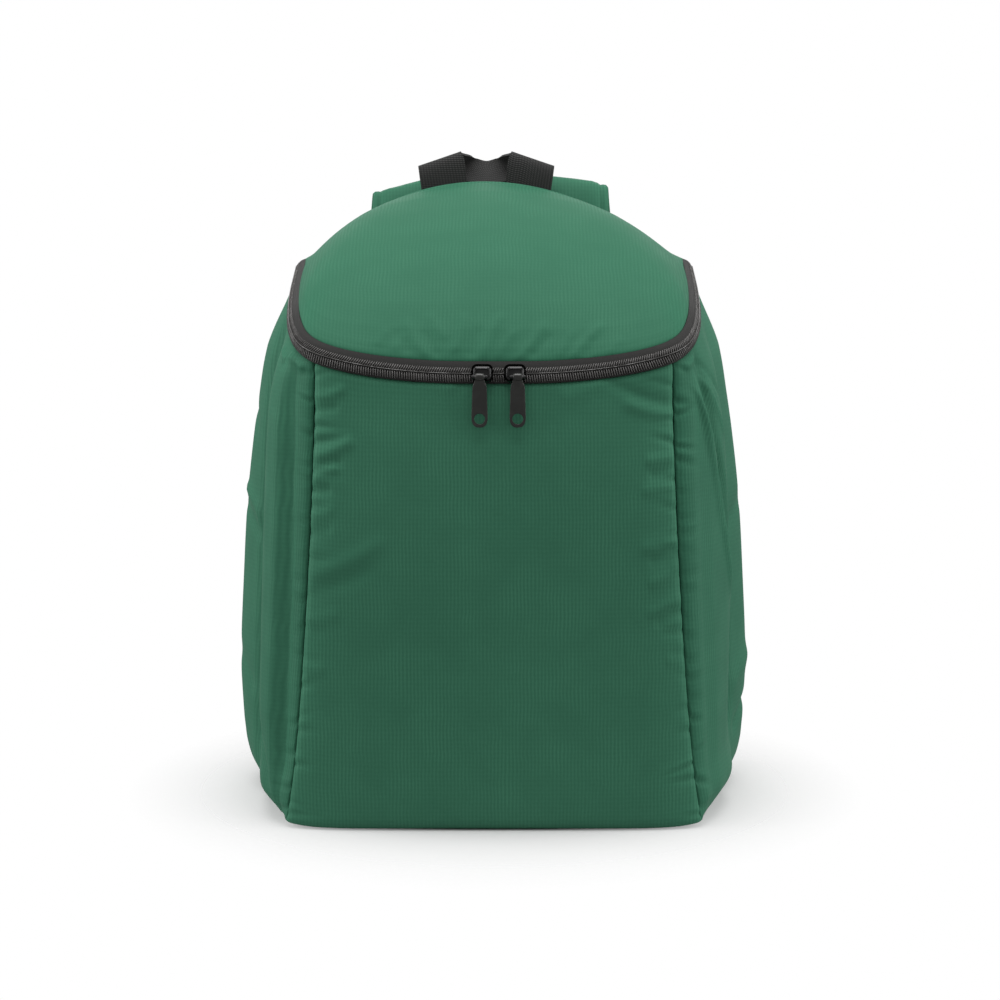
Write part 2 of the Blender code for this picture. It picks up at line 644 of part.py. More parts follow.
for side, name, cloth, tail_name, tail_cloth in (
    (-1, "shoulder_strap_left", GREEN_STRAP_L, "strap_tail_left", TAIL_BLACK_L),
    (1, "shoulder_strap_right", GREEN_STRAP_R, "strap_tail_right", TAIL_BLACK_R),
):
    sections = []
    for t in stations(0.0, len(STRAP_ROWS) - 1, 26):
        point, wide, face = strap_at(t, side)
        ring = []
        for a, b in STRAP_PROFILE:
            ring.append(point + wide * a * STRAP_WIDTH / 2 + face * b * STRAP_THICK / 2)
        sections.append(ring)
    sweep(name, sections, cloth)
    edges = []
    lines = []
    for t in TAIL_LAP:
        point, wide, face = strap_at(t, side)
        if face[1] < 0:
            face = -face
        lines.append(point + face * (STRAP_THICK / 2 + GAP + WEB_THICK / 2))
    for off, height, out in TAIL_ROWS:
        over = side * (STRAP_ACROSS[side] + out * STRAP_SPREAD)
        lines.append(np.array((over, BACK_OUT + off * STRAP_BOW, height * ARCH_TOP)))
    for t in stations(0.0, len(lines) - 1, 16):
        middle = along(lines, t)
        edges.append((middle - np.array((TAIL_WIDTH / 2, 0, 0)), middle + np.array((TAIL_WIDTH / 2, 0, 0))))
    ribbon(tail_name, edges, WEB_THICK, tail_cloth)


def joined(base, others, operation="UNION"):
    """Boolean of hidden helper solids into the base, applied and then cleared away."""
    bpy.ops.object.select_all(action="DESELECT")
    bpy.context.view_layer.objects.active = base
    base.select_set(True)
    for other in others:
        step = base.modifiers.new(other.name, "BOOLEAN")
        step.operation = operation
        step.solver = "EXACT"
        step.object = other
        bpy.ops.object.modifier_apply(modifier=step.name)
    for other in others:
        made.remove(other)
        bpy.data.objects.remove(other, do_unlink=True)


def rod(name, middle, radius, length, axis, parts, made_of):
    """Round bar along a unit axis."""
    side_way = unit(np.cross(axis, Y if abs(axis[1]) < 0.9 else Z))
    up_way = np.cross(axis, side_way)
    ring = []
    for k in range(parts):
        turn = 2 * math.pi * k / parts
        ring.append(middle + (side_way * math.cos(turn) + up_way * math.sin(turn)) * radius)
    ends = [[p + axis * s * length / 2 for p in ring] for s in (-1, 1)]
    return sweep(name, ends, made_of, smooth=False)


# Sliders, each with a hinge bar on two posts
SLIDER_PROFILE = (
    # rise, lift
    (-0.0048, 0.0009), (-0.0048, 0.0034), (-0.0041, 0.0040), (0.0041, 0.0040),
    (0.0048, 0.0034), (0.0048, 0.0009), (0.0040, 0.0009), (0.0040, 0.0027),
    (-0.0040, 0.0027), (-0.0040, 0.0009),
)
SLIDER_ROWS = (
    # towards the other slider, width share
    (-0.46, 0.94), (-0.34, 1.0), (0.50, 1.0), (0.72, 0.93),
)
POST_OUT = 0.0036
POST_THICK = 0.0011
POST_DEEP = 0.0018
PULL_OUTLINE = (
    # half width share, way down share
    (0.62, 0.060), (0.62, 0.115), (0.80, 0.155), (0.88, 0.220), (0.93, 0.450),
    (1.0, 0.780), (0.97, 0.870), (0.84, 0.935), (0.62, 0.978), (0.32, 0.996),
)
EYE_WIDE = 0.0050
EYE_WALL = 0.0010
WINDOW_RADIUS = 0.0030
WINDOW_UP = 0.0049
hinges = {}
for side, name, metal, pull_name, pull_cloth in (
    (-1, "left", SLIDER_BLACK_L, "pull_left", PULL_BLACK_L),
    (1, "right", SLIDER_BLACK_R, "pull_right", PULL_BLACK_R),
):
    centre_x = SLIDER_MIDDLE + side * SLIDER_OFF
    here = centre_x / HALF_ZIP[1][0]
    point, run, face, up = zip_at(here)
    sections = []
    for share, width in SLIDER_ROWS if side < 0 else [(-a, w) for a, w in SLIDER_ROWS[::-1]]:
        base = point + run * share * SLIDER_LONG
        sections.append([base + up * rise * width + face * lift for rise, lift in SLIDER_PROFILE])
    body = sweep("slider_" + name, sections, metal, smooth=False)
    axis_point = point + face * BAR_RAISE - up * BAR_BELOW
    helpers = []
    for end in (-1, 1):
        foot = point + run * end * POST_OUT - up * BAR_BELOW
        rings = []
        for lift in (0.0034, BAR_RAISE + 0.0006):
            ring = []
            for a, b in ((-1, -1), (1, -1), (1, 1), (-1, 1)):
                ring.append(foot + run * a * POST_THICK / 2 + up * b * POST_DEEP / 2 + face * lift)
            rings.append(ring)
        helpers.append(sweep("post", rings, metal, smooth=False))
    helpers.append(rod("bar", axis_point, BAR_RADIUS, 2 * POST_OUT, run, 12, metal))
    joined(body, helpers)
    # Pull: an eye round the bar and a flat tab with a round window
    inner = BAR_RADIUS + EYE_CLEAR
    x_way = np.array((1.0, 0.0, 0.0))
    pull = rod(pull_name, axis_point, inner + EYE_WALL, EYE_WIDE, x_way, 20, pull_cloth)
    right_side = [(PULL_WIDTH / 2 * a, -PULL_DROP * b) for a, b in PULL_OUTLINE]
    rim = right_side + [(0.0, -PULL_DROP)] + [(-x, z) for x, z in right_side[::-1]]
    faces = []
    for y in (-PULL_THICK / 2, PULL_THICK / 2):
        faces.append([axis_point + np.array((x, y, z)) for x, z in rim])
    tab = sweep("tab", faces, pull_cloth, smooth=False)
    joined(pull, [tab])
    hole = rod("hole", axis_point, inner, 2 * EYE_WIDE, x_way, 16, pull_cloth)
    window_middle = axis_point - np.array((0.0, 0.0, PULL_DROP - WINDOW_UP))
    window = rod("window", window_middle, WINDOW_RADIUS, 0.01, Y, 20, pull_cloth)
    joined(pull, [hole, window], "DIFFERENCE")
    hinges[pull_name] = axis_point

# The whole bag centred over the origin, each pull's own origin on its hinge
points = np.concatenate([
    np.array([tuple(v.co) for v in one.data.vertices]) for one in made
])
low, high = points.min(axis=0), points.max(axis=0)
shift = np.array((-(low[0] + high[0]) / 2, -(low[1] + high[1]) / 2, 0.0))
for one in made:
    origin = hinges.get(one.name, np.zeros(3))
    for v in one.data.vertices:
        v.co = tuple(np.array(v.co) - origin)
    one.location = tuple(origin + shift)
print("size", [round(float(v), 4) for v in high - low], "shift", [round(float(v), 5) for v in shift])
for name, point in hinges.items():
    print(name, "hinge", [round(float(v), 5) for v in point + shift])
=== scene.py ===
# %% [markdown]
# # Cooler backpack
# A small insulated rucksack: a green front panel that rolls under as the base, two side gussets,
# a puffed lid that a two-way zip opens, a flat back panel, a webbing handle and two shoulder
# straps. The CAD model gives every piece its place. Here each cloth gets its folds and weave.

# %% Load the frame
import math

import bpy
import numpy as np
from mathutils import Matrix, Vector


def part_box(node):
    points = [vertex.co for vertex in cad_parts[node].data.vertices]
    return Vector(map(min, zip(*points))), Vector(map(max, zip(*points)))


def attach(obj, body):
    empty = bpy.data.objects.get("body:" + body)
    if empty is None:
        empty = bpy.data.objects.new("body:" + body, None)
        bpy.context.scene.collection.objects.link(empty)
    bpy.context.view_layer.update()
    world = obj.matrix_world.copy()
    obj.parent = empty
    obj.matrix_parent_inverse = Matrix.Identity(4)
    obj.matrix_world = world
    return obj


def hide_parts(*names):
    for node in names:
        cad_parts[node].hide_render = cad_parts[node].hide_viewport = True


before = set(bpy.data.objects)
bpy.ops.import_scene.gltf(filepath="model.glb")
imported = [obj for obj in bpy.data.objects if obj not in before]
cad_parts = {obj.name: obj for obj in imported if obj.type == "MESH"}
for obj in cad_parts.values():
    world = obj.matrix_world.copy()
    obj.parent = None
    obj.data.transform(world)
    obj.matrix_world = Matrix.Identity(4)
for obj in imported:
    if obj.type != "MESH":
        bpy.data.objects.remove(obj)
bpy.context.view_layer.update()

# %% [markdown]
# The photograph is a studio shot from a little above the zip, with a long lens. The camera comes
# first, because every later choice of detail depends on how large a thing is in its view. It
# stands 1.6 m in front of the bag and looks down by about nine degrees.

# %% Camera
eye = bpy.data.cameras.new("studio_camera")
eye.angle = math.radians(20.0)
eye.clip_end = 50.0
camera = bpy.data.objects.new("studio_camera", eye)
bpy.context.collection.objects.link(camera)
camera.location = (0.0034, -1.6223, 0.42)
camera.rotation_euler = (math.radians(90.0 - 8.78), 0.0, 0.0)
bpy.context.scene.camera = camera
bpy.context.scene.view_settings.view_transform = "Standard"
print("camera at", tuple(round(v, 3) for v in camera.location))

# %% [markdown]
# The light is plain and soft: a white room, a wide panel overhead, one panel on either side and a
# weaker one behind.
# The side panels graze the front, so its ribs and puckers show, and give the gussets their bright
# rolls. The overhead one lights the lid more than the front, which stands upright. The room looks
# pure white to the camera but gives the bag only a weak light, or it would flatten every fold.

# %% Lights and room
ROOM_LIGHT, ROOM_SEEN = 0.46, 1.0     # what the room gives the bag, and what the camera sees of it
LIGHTS = (
    # name, place, aim, width, height, power
    ("overhead_light", (0.0, -0.15, 1.9), (0.0, 0.0, 0.2), 1.5, 1.2, 33.0),
    ("left_light", (-1.7, -0.15, 0.75), (0.0, 0.0, 0.15), 1.2, 1.5, 27.0),
    ("right_light", (1.7, -0.25, 0.75), (0.0, 0.0, 0.15), 1.2, 1.5, 24.0),
    ("back_light", (0.0, 1.7, 1.1), (0.0, 0.0, 0.2), 1.6, 1.2, 9.0),
)
for name, place, aim, width, height, power in LIGHTS:
    lamp = bpy.data.lights.new(name, "AREA")
    lamp.shape = "RECTANGLE"
    lamp.size, lamp.size_y, lamp.energy = width, height, power
    light = bpy.data.objects.new(name, lamp)
    bpy.context.collection.objects.link(light)
    light.location = place
    light.rotation_euler = (Vector(aim) - Vector(place)).to_track_quat("-Z", "Y").to_euler()
room = bpy.data.worlds.new("white_room")
room.use_nodes = True
seen = room.node_tree.nodes.new("ShaderNodeLightPath").outputs["Is Camera Ray"]
level = room.node_tree.nodes.new("ShaderNodeMapRange")
room.node_tree.links.new(seen, level.inputs["Value"])
level.inputs["To Min"].default_value = ROOM_LIGHT
level.inputs["To Max"].default_value = ROOM_SEEN
white = room.node_tree.nodes["Background"]
white.inputs["Color"].default_value = (1.0, 1.0, 1.0, 1.0)
room.node_tree.links.new(level.outputs["Result"], white.inputs["Strength"])
bpy.context.scene.world = room
print("lights:", [row[0] for row in LIGHTS])

# %% [markdown]
# The bag stands on pale paper that turns pure white a hand's breadth from it. A plain disc is
# enough: it takes the soft shadow near the bag, and it fades out with the distance from the
# middle, so that no edge of it shows.

# %% Floor
FLOOR_GREY, FADE_FROM, FADE_TO = 0.54, 0.10, 0.215


def only(thing=None):
    """Deselects all, then selects and activates one object."""
    bpy.ops.object.select_all(action="DESELECT")
    if thing is not None:
        thing.select_set(True)
        bpy.context.view_layer.objects.active = thing


only()
bpy.ops.mesh.primitive_circle_add(vertices=96, radius=1.1, fill_type="NGON", location=(0.0, 0.0, 0.0))
floor = bpy.context.object
floor.name = "studio_floor"
paper = bpy.data.materials.new("pale_paper")
paper.use_nodes = True
tree = paper.node_tree
shader = tree.nodes["Principled BSDF"]
shader.inputs["Base Color"].default_value = (FLOOR_GREY, FLOOR_GREY, FLOOR_GREY, 1.0)
shader.inputs["Roughness"].default_value = 0.9
shader.inputs["Specular IOR Level"].default_value = 0.1
far_off = tree.nodes.new("ShaderNodeVectorMath")
far_off.operation = "LENGTH"
tree.links.new(tree.nodes.new("ShaderNodeTexCoord").outputs["Object"], far_off.inputs[0])
fade = tree.nodes.new("ShaderNodeMapRange")
tree.links.new(far_off.outputs["Value"], fade.inputs["Value"])
fade.inputs["From Min"].default_value, fade.inputs["From Max"].default_value = FADE_FROM, FADE_TO
fade.inputs["To Min"].default_value, fade.inputs["To Max"].default_value = 1.0, 0.0
tree.links.new(fade.outputs["Result"], shader.inputs["Alpha"])
floor.data.materials.append(paper)
print("floor ready, fading into the white room")

# %% [markdown]
# ## Finishes
# The bag's cloth is a thin ribbed polyester: fine ribs run down it about 2 mm apart, with weaker
# ones across, and it has a soft shine. A picture of cloth would blur in close views, so the ribs
# are waves worked out from each piece's own UV map, which is in metres of cloth. One helper makes
# a node and joins it up, and one function makes every woven finish from a few values.

# %% Node helper
class Finish:
    """A material that is built node by node."""

    def __init__(self, name):
        self.material = bpy.data.materials.new(name)
        self.material.use_nodes = True
        self.tree = self.material.node_tree
        self.shader = self.tree.nodes["Principled BSDF"]

    def node(self, kind, inputs=(), **settings):
        made = self.tree.nodes.new(kind)
        for key, value in settings.items():
            setattr(made, key, value)
        for key, value in dict(inputs).items():
            self.feed(made.inputs[key], value)
        return made

    def feed(self, socket, value):
        if isinstance(value, bpy.types.NodeSocket):
            self.tree.links.new(value, socket)
        else:
            socket.default_value = value

    def sum(self, operation, a, b=0.0, c=0.0):
        return self.node("ShaderNodeMath", {0: a, 1: b, 2: c}, operation=operation).outputs[0]

    def set(self, **values):
        for key, value in values.items():
            self.feed(self.shader.inputs[key.replace("_", " ")], value)

    def wave(self, along, length, phase=0.0):
        """A smooth wave between 0 and 1, of this length in metres."""
        turns = self.sum("MULTIPLY_ADD", along, 2 * math.pi / length, phase)
        return self.sum("MULTIPLY_ADD", self.sum("SINE", turns), 0.5, 0.5)

    def noise(self, place, scale, detail=2.0, roughness=0.5):
        values = {"Vector": place, "Scale": scale, "Detail": detail, "Roughness": roughness}
        return self.node("ShaderNodeTexNoise", values).outputs["Fac"]

    def ramp(self, value, low, high, start=0.0, end=1.0):
        values = {"Value": value, "From Min": low, "From Max": high, "To Min": start, "To Max": end}
        return self.node("ShaderNodeMapRange", values).outputs["Result"]

    def mix(self, share, dark, light):
        made = self.node("ShaderNodeMix", {0: share}, data_type="RGBA")
        self.feed(made.inputs[6], (*dark, 1.0))
        self.feed(made.inputs[7], (*light, 1.0))
        return made.outputs[2]

    def bump(self, height, strength, distance):
        values = {"Height": height, "Strength": strength, "Distance": distance}
        self.feed(self.shader.inputs["Normal"], self.node("ShaderNodeBump", values).outputs["Normal"])


def on_cloth(finish):
    """Across and along the piece's own cloth map, in metres."""
    place = finish.node("ShaderNodeUVMap", uv_map="weave").outputs["UV"]
    parts = finish.node("ShaderNodeSeparateXYZ", {0: place})
    return parts.outputs[0], parts.outputs[1]


# %% Green ribbed cloth
RIB, CROSS_RIB = 0.0020, 0.0026


def ribbed_cloth(name, dark, light):
    """Ribs that wander a little and come and go, fuzz of the yarn, and large faint patches."""
    finish = Finish(name)
    across, along_it = on_cloth(finish)
    solid = finish.node("ShaderNodeTexCoord").outputs["Object"]
    wander = finish.sum("MULTIPLY_ADD", finish.noise(solid, 60.0), 0.0022, across)
    warp = finish.wave(wander, RIB)
    shaken = finish.sum("MULTIPLY_ADD", finish.noise(solid, 200.0), 0.002, along_it)
    weft = finish.wave(shaken, CROSS_RIB)
    strength = finish.ramp(finish.noise(solid, 45.0, 3.0), 0.35, 0.65, 0.35, 1.0)
    slub = finish.noise(solid, 800.0, 3.0)
    patch = finish.noise(solid, 10.0, 3.0)
    ribs = finish.sum("MULTIPLY", warp, strength)
    body = finish.sum("MULTIPLY_ADD", weft, 0.12, finish.sum("MULTIPLY", ribs, 0.6))
    body = finish.sum("MULTIPLY_ADD", slub, 0.30, body)
    shade = finish.sum("MULTIPLY_ADD", finish.ramp(patch, 0.3, 0.7), 0.20, body)
    finish.set(Base_Color=finish.mix(finish.ramp(shade, 0.05, 1.15), dark, light))
    finish.set(Roughness=finish.ramp(body, 0.0, 1.0, 0.70, 0.58))
    finish.set(Specular_IOR_Level=0.11)
    finish.bump(body, 0.35, 0.00022)
    return finish.material


# %% Black woven tape and webbing, lacquer and nylon
def webbing(name, dark, light, rib, cross, depth):
    """Ribs broken into dots by the warp, with a fine fuzz; rib and cross are their distances."""
    finish = Finish(name)
    across, along_it = on_cloth(finish)
    solid = finish.node("ShaderNodeTexCoord").outputs["Object"]
    ribs = finish.wave(along_it, rib)
    rows = finish.wave(across, cross)
    dots = finish.sum("MULTIPLY", ribs, finish.sum("MULTIPLY_ADD", rows, 0.65, 0.35))
    fuzz = finish.noise(solid, 1500.0, 3.0)
    body = finish.sum("MULTIPLY_ADD", fuzz, 0.25, finish.sum("MULTIPLY", dots, 0.85))
    finish.set(Base_Color=finish.mix(finish.ramp(body, 0.05, 1.0), dark, light))
    finish.set(Roughness=finish.ramp(body, 0.0, 1.0, 0.75, 0.58))
    finish.set(Specular_IOR_Level=0.16)
    finish.bump(body, 0.6, depth)
    return finish.material


def moulded(name, colour, metallic, rough):
    """Lacquered zinc or moulded plastic, with the faint mottling and scuffs of handling."""
    finish = Finish(name)
    solid = finish.node("ShaderNodeTexCoord").outputs["Object"]
    speck = finish.noise(solid, 700.0, 4.0, 0.6)
    scuff = finish.noise(solid, 160.0, 3.0, 0.7)
    brighter = tuple(2.1 * c + 0.004 for c in colour)
    finish.set(Base_Color=finish.mix(finish.ramp(scuff, 0.45, 0.8, 0.0, 0.6), colour, brighter))
    finish.set(Roughness=finish.ramp(scuff, 0.35, 0.75, rough - 0.05, rough + 0.12))
    finish.set(Metallic=metallic, Specular_IOR_Level=0.5)
    finish.bump(speck, 0.08, 0.00010)
    return finish.material


# %% All finishes
# The bag is one green cloth throughout, but its panels get unlike greens. The front's is painted
# lighter, as painted light, and the lid's a little darker, as painted shade, to set each panel's
# brightness under these lamps. The sides, back and straps share the plain green.
FRONT_GREENS_PAINTED_LIGHT = (0.0268, 0.113, 0.067), (0.0450, 0.170, 0.102)
BODY_GREENS = (0.0205, 0.095, 0.056), (0.0350, 0.143, 0.084)
LID_GREENS_PAINTED_SHADE = (0.0200, 0.098, 0.056), (0.0280, 0.125, 0.072)
TAPE_BLACKS = (0.013, 0.013, 0.0125), (0.030, 0.029, 0.028)
WEB_BLACKS = (0.008, 0.008, 0.008), (0.055, 0.055, 0.054)
FRONT_GREEN_PAINTED_LIGHT = ribbed_cloth("front_green_painted_light", *FRONT_GREENS_PAINTED_LIGHT)
SIDE_GREEN = ribbed_cloth("side_green", *BODY_GREENS)
LID_GREEN_PAINTED_SHADE = ribbed_cloth("lid_green_painted_shade", *LID_GREENS_PAINTED_SHADE)
BACK_GREEN = ribbed_cloth("back_green", *BODY_GREENS)
STRAP_GREEN = ribbed_cloth("strap_green", *BODY_GREENS)
TAPE_BLACK = webbing("tape_black", *TAPE_BLACKS, rib=0.0007, cross=0.0005, depth=0.00006)
COIL_BLACK = moulded("coil_black", (0.075, 0.072, 0.070), 0.0, 0.22)
CORD_BLACK = moulded("coil_cord_black", (0.060, 0.058, 0.056), 0.0, 0.30)
WEB_BLACK = webbing("webbing_black", *WEB_BLACKS, rib=0.00115, cross=0.0017, depth=0.00035)
SLIDER_BLACK = moulded("slider_black", (0.012, 0.012, 0.012), 0.6, 0.18)
PULL_BLACK = moulded("pull_black", (0.009, 0.0095, 0.008), 0.1, 0.33)
print("finishes:", len(bpy.data.materials))

# %% [markdown]
# ## The lines of the bag
# Every seam follows a smooth line through a short table, the same lines as the CAD model's. The
# tables hold shares of a few sizes. A piece is laid on a surface between two of these lines.

# %% Sizes and lines
HALF_WIDTH, DEPTH, ZIP_HEIGHT, ZIP_RISE = 0.147, 0.160, 0.253, 0.047
BACK_FACE = DEPTH * 0.4875
GAP = 0.0003
BACK_WALL = 0.005
BACK_OUT = BACK_FACE + GAP + BACK_WALL
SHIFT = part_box("back_panel")[0].y - (BACK_FACE + GAP)   # table depths to the frame's depths
UP = np.array((0.0, 0.0, 1.0))
ZIP_ROWS = (
    # across  depth    rise    degrees that it faces up
    (0.0000, -0.4594, 0.0000, 20), (0.2041, -0.4581, 0.0064, 20), (0.3810, -0.4550, 0.0489, 21),
    (0.5063, -0.4500, 0.1053, 24), (0.6026, -0.4375, 0.1723, 28), (0.6704, -0.4125, 0.2426, 34),
    (0.7181, -0.3625, 0.3298, 40), (0.7480, -0.2812, 0.4447, 45), (0.7677, -0.1500, 0.5809, 47),
    (0.7830, 0.1250, 0.7617, 48), (0.7857, 0.4875, 1.0000, 48),
)
STRIP_ROWS = (
    # seam across, depth, height; middle depth, height; how square its edge is
    (0.6687, -0.4313, 0.9249, -0.4800, 0.9170, 5.0), (0.6748, -0.4531, 0.8103, -0.4969, 0.8024, 6.0),
    (0.6939, -0.4656, 0.5929, -0.5094, 0.5850, 7.0), (0.7245, -0.4688, 0.3360, -0.5125, 0.3360, 7.0),
    (0.7517, -0.4625, 0.1660, -0.5094, 0.1581, 7.0), (0.7755, -0.4562, 0.0632, -0.5031, 0.0514, 7.0),
    (0.7925, -0.4387, 0.0158, -0.4862, 0.0087, 10.0), (0.7993, -0.3812, 0.0138, -0.4313, 0.0000, 10.0),
    (0.8401, -0.1875, 0.0138, -0.2000, 0.0000, 12.0), (0.8810, -0.0125, 0.0138, -0.0187, 0.0000, 12.0),
    (0.9150, 0.1562, 0.0138, 0.1562, 0.0000, 12.0), (0.9286, 0.3000, 0.0138, 0.3000, 0.0000, 12.0),
    (0.9116, 0.4125, 0.0150, 0.4125, 0.0000, 10.0), (0.8673, 0.4875, 0.0217, 0.4875, 0.0119, 6.0),
)
ZIP_END, CORNER_ROW, LAST_ROW = len(ZIP_ROWS) - 1, 7, len(STRIP_ROWS)
COIL_HALF = 0.0035


def unit(v):
    v = np.asarray(v, float)
    return v / np.linalg.norm(v, axis=-1, keepdims=True)


def along(rows, t):
    """Smooth line through the rows, one row for each whole number of t."""
    last = len(rows) - 1
    i = int(min(max(math.floor(t), 0), last - 1))
    f = t - i
    p1, p2 = np.asarray(rows[i], float), np.asarray(rows[i + 1], float)
    p0 = np.asarray(rows[i - 1], float) if i else 2 * p1 - p2
    p3 = np.asarray(rows[i + 2], float) if i + 2 <= last else 2 * p2 - p1
    bend = 2 * p0 - 5 * p1 + 4 * p2 - p3
    turn = 3 * p1 - p0 - 3 * p2 + p3
    return 0.5 * (2 * p1 + (p2 - p0) * f + bend * f * f + turn * f**3)


def at_share(rows, share):
    """Row values at a share given by each row's first column."""
    shares = [row[0] for row in rows]
    i = min(max(int(np.searchsorted(shares, share, side="right")) - 1, 0), len(rows) - 2)
    f = (share - shares[i]) / (shares[i + 1] - shares[i])
    return along([row[1:] for row in rows], i + f)


HALF_ZIP = [(x * HALF_WIDTH, y * DEPTH, ZIP_HEIGHT + z * ZIP_RISE) for x, y, z, _ in ZIP_ROWS]
FULL_ZIP = [(-x, y, z) for x, y, z in HALF_ZIP[:0:-1]] + HALF_ZIP


def zip_at(t):
    """Point, run, outward and upward directions of the zip; t runs from -ZIP_END to ZIP_END."""
    point = along(FULL_ZIP, t + ZIP_END)
    run = unit(along(FULL_ZIP, t + ZIP_END + 0.02) - along(FULL_ZIP, t + ZIP_END - 0.02))
    out = unit(np.cross(run, UP))
    tilt = math.radians(along([row[3:] for row in ZIP_ROWS], abs(t))[0])
    face = out * math.cos(tilt) + UP * math.sin(tilt)
    face = unit(face - run * face.dot(run))
    return point, run, face, np.cross(face, run)


UPRIGHT_FROM, UPRIGHT_OVER = 3.2, 3.0    # where the coil starts to stand up, and over how long
COIL_TURN, UPPER_TURN, LOWER_TURN = -24.0, 14.0, -34.0    # degrees, once it stands


def zip_cross(t, rise, lift=0.0):
    """Point of the zip's cross-section. Along the sides the coil stays upright, the upper tape
    folds over the rim and the lower one hangs down."""
    point, _, face, up = zip_at(t)
    side = min(max((abs(t) - UPRIGHT_FROM) / UPRIGHT_OVER, 0.0), 1.0)
    side = side * side * (3 - 2 * side)
    sign = 1.0 if rise > 0 else -1.0
    near, far = min(abs(rise), COIL_HALF), max(abs(rise) - COIL_HALF, 0.0)
    first = math.radians(COIL_TURN) * side
    second = math.radians(UPPER_TURN if sign > 0 else LOWER_TURN) * side
    place = point + sign * near * (up * math.cos(first) - face * math.sin(first))
    place = place + sign * far * (up * math.cos(second) - face * math.sin(second))
    turn = second if far > 0 else first
    place = place + lift * (face * math.cos(turn) + up * math.sin(turn))
    if abs(t) == ZIP_END:
        place[1] = BACK_FACE
    return place


LOW_TOP = -(COIL_HALF + 0.0010)      # where the front and the gussets start, under the coil
LID_START = COIL_HALF + 0.0031       # where the lid starts, over the upper tape
LOW_LIFT = -0.0004
SEAM_CORNER = 4.78                   # where the front seam meets the zip


def low_line(t):
    """The line under the coil that the front and the gussets hang from."""
    return zip_cross(t, LOW_TOP, LOW_LIFT)


SEAM_ROWS = [tuple(low_line(SEAM_CORNER))]
MIDDLE_ROWS = [(*low_line(0)[1:], 4.0)]
for seam_x, seam_y, seam_z, mid_y, mid_z, power in STRIP_ROWS:
    SEAM_ROWS.append((seam_x * HALF_WIDTH, seam_y * DEPTH, seam_z * ZIP_HEIGHT))
    MIDDLE_ROWS.append((mid_y * DEPTH, mid_z * ZIP_HEIGHT, power))


def seam_at(t):
    return along(SEAM_ROWS, t)


print("zip from", zip_at(-ZIP_END)[0].round(3), "to", zip_at(ZIP_END)[0].round(3))

# %% [markdown]
# A cloth panel starts as a flat grid, is laid on its surface, gets its folds, and then a wall
# inwards. A cloth simulation could make folds too, but it puts them where it likes. Here they are
# pressed in along the surface's own outward direction, the way a sculpting brush does it, because
# that keeps them where the photograph shows them.

# %% Laying a grid on a surface
BAG_HEART = (0.0, 0.0, 0.15)     # a point inside the bag, to tell outwards from inwards


def lay(name, surface, cloth_map=None):
    """A grid object on a surface array of points, rows by columns, with its map in metres."""
    rows, columns = surface.shape[:2]
    only()
    bpy.ops.mesh.primitive_grid_add(x_subdivisions=columns - 1, y_subdivisions=rows - 1, size=1.0)
    made = bpy.context.object
    made.name = made.data.name = name
    place = np.zeros(len(made.data.vertices) * 3)
    made.data.vertices.foreach_get("co", place)
    place = place.reshape(-1, 3)
    j = np.rint((place[:, 0] + 0.5) * (columns - 1)).astype(int)
    i = np.rint((place[:, 1] + 0.5) * (rows - 1)).astype(int)
    world = surface[i, j] + np.array((0.0, SHIFT, 0.0))
    made.data.vertices.foreach_set("co", world.ravel())
    if cloth_map is None:
        cloth_map = lengths(surface)
    corner = np.zeros(len(made.data.loops), int)
    made.data.loops.foreach_get("vertex_index", corner)
    layer = made.data.uv_layers[0]
    layer.name = "weave"
    layer.data.foreach_set("uv", cloth_map[i[corner], j[corner]].ravel())
    made.data.update()
    return made


def lengths(surface):
    """Cloth map of a surface: lengths along its middle column and middle row, in metres."""
    down = np.linalg.norm(np.diff(surface, axis=0), axis=2)
    over = np.linalg.norm(np.diff(surface, axis=1), axis=2)
    down = np.concatenate([np.zeros((1, surface.shape[1])), np.cumsum(down, axis=0)])
    over = np.concatenate([np.zeros((surface.shape[0], 1)), np.cumsum(over, axis=1)], axis=1)
    return np.stack([over, down], axis=2)


def outward(surface, core):
    """Unit directions out of a surface, away from a point inside the bag."""
    normal = unit(np.cross(np.gradient(surface, axis=1), np.gradient(surface, axis=0)))
    if (normal * (surface - np.asarray(core))).sum() < 0:
        normal = -normal
    return normal


def finish_cloth(made, wall, material, node, core=BAG_HEART):
    """Turns the faces out, gives the cloth its wall and joins the piece to the frame."""
    mesh = made.data
    mesh.materials.append(material)
    only(made)
    middle = np.zeros(len(mesh.polygons) * 3)
    normal = np.zeros(len(mesh.polygons) * 3)
    mesh.polygons.foreach_get("center", middle)
    mesh.polygons.foreach_get("normal", normal)
    away = middle.reshape(-1, 3) - np.asarray(core)
    if (away * normal.reshape(-1, 3)).sum() < 0:
        mesh.flip_normals()
    wall_step = made.modifiers.new("wall", "SOLIDIFY")
    wall_step.thickness, wall_step.offset = wall, -1.0
    bpy.ops.object.modifier_apply(modifier=wall_step.name)
    bpy.ops.object.shade_smooth()
    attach(made, "bag")
    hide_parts(node)
    print(made.name, len(mesh.polygons), "faces")


def face_out(made):
    """Turns all the faces of a closed piece outwards."""
    only(made)
    bpy.ops.object.mode_set(mode="EDIT")
    bpy.ops.mesh.select_all(action="SELECT")
    bpy.ops.mesh.normals_make_consistent(inside=False)
    bpy.ops.object.mode_set(mode="OBJECT")


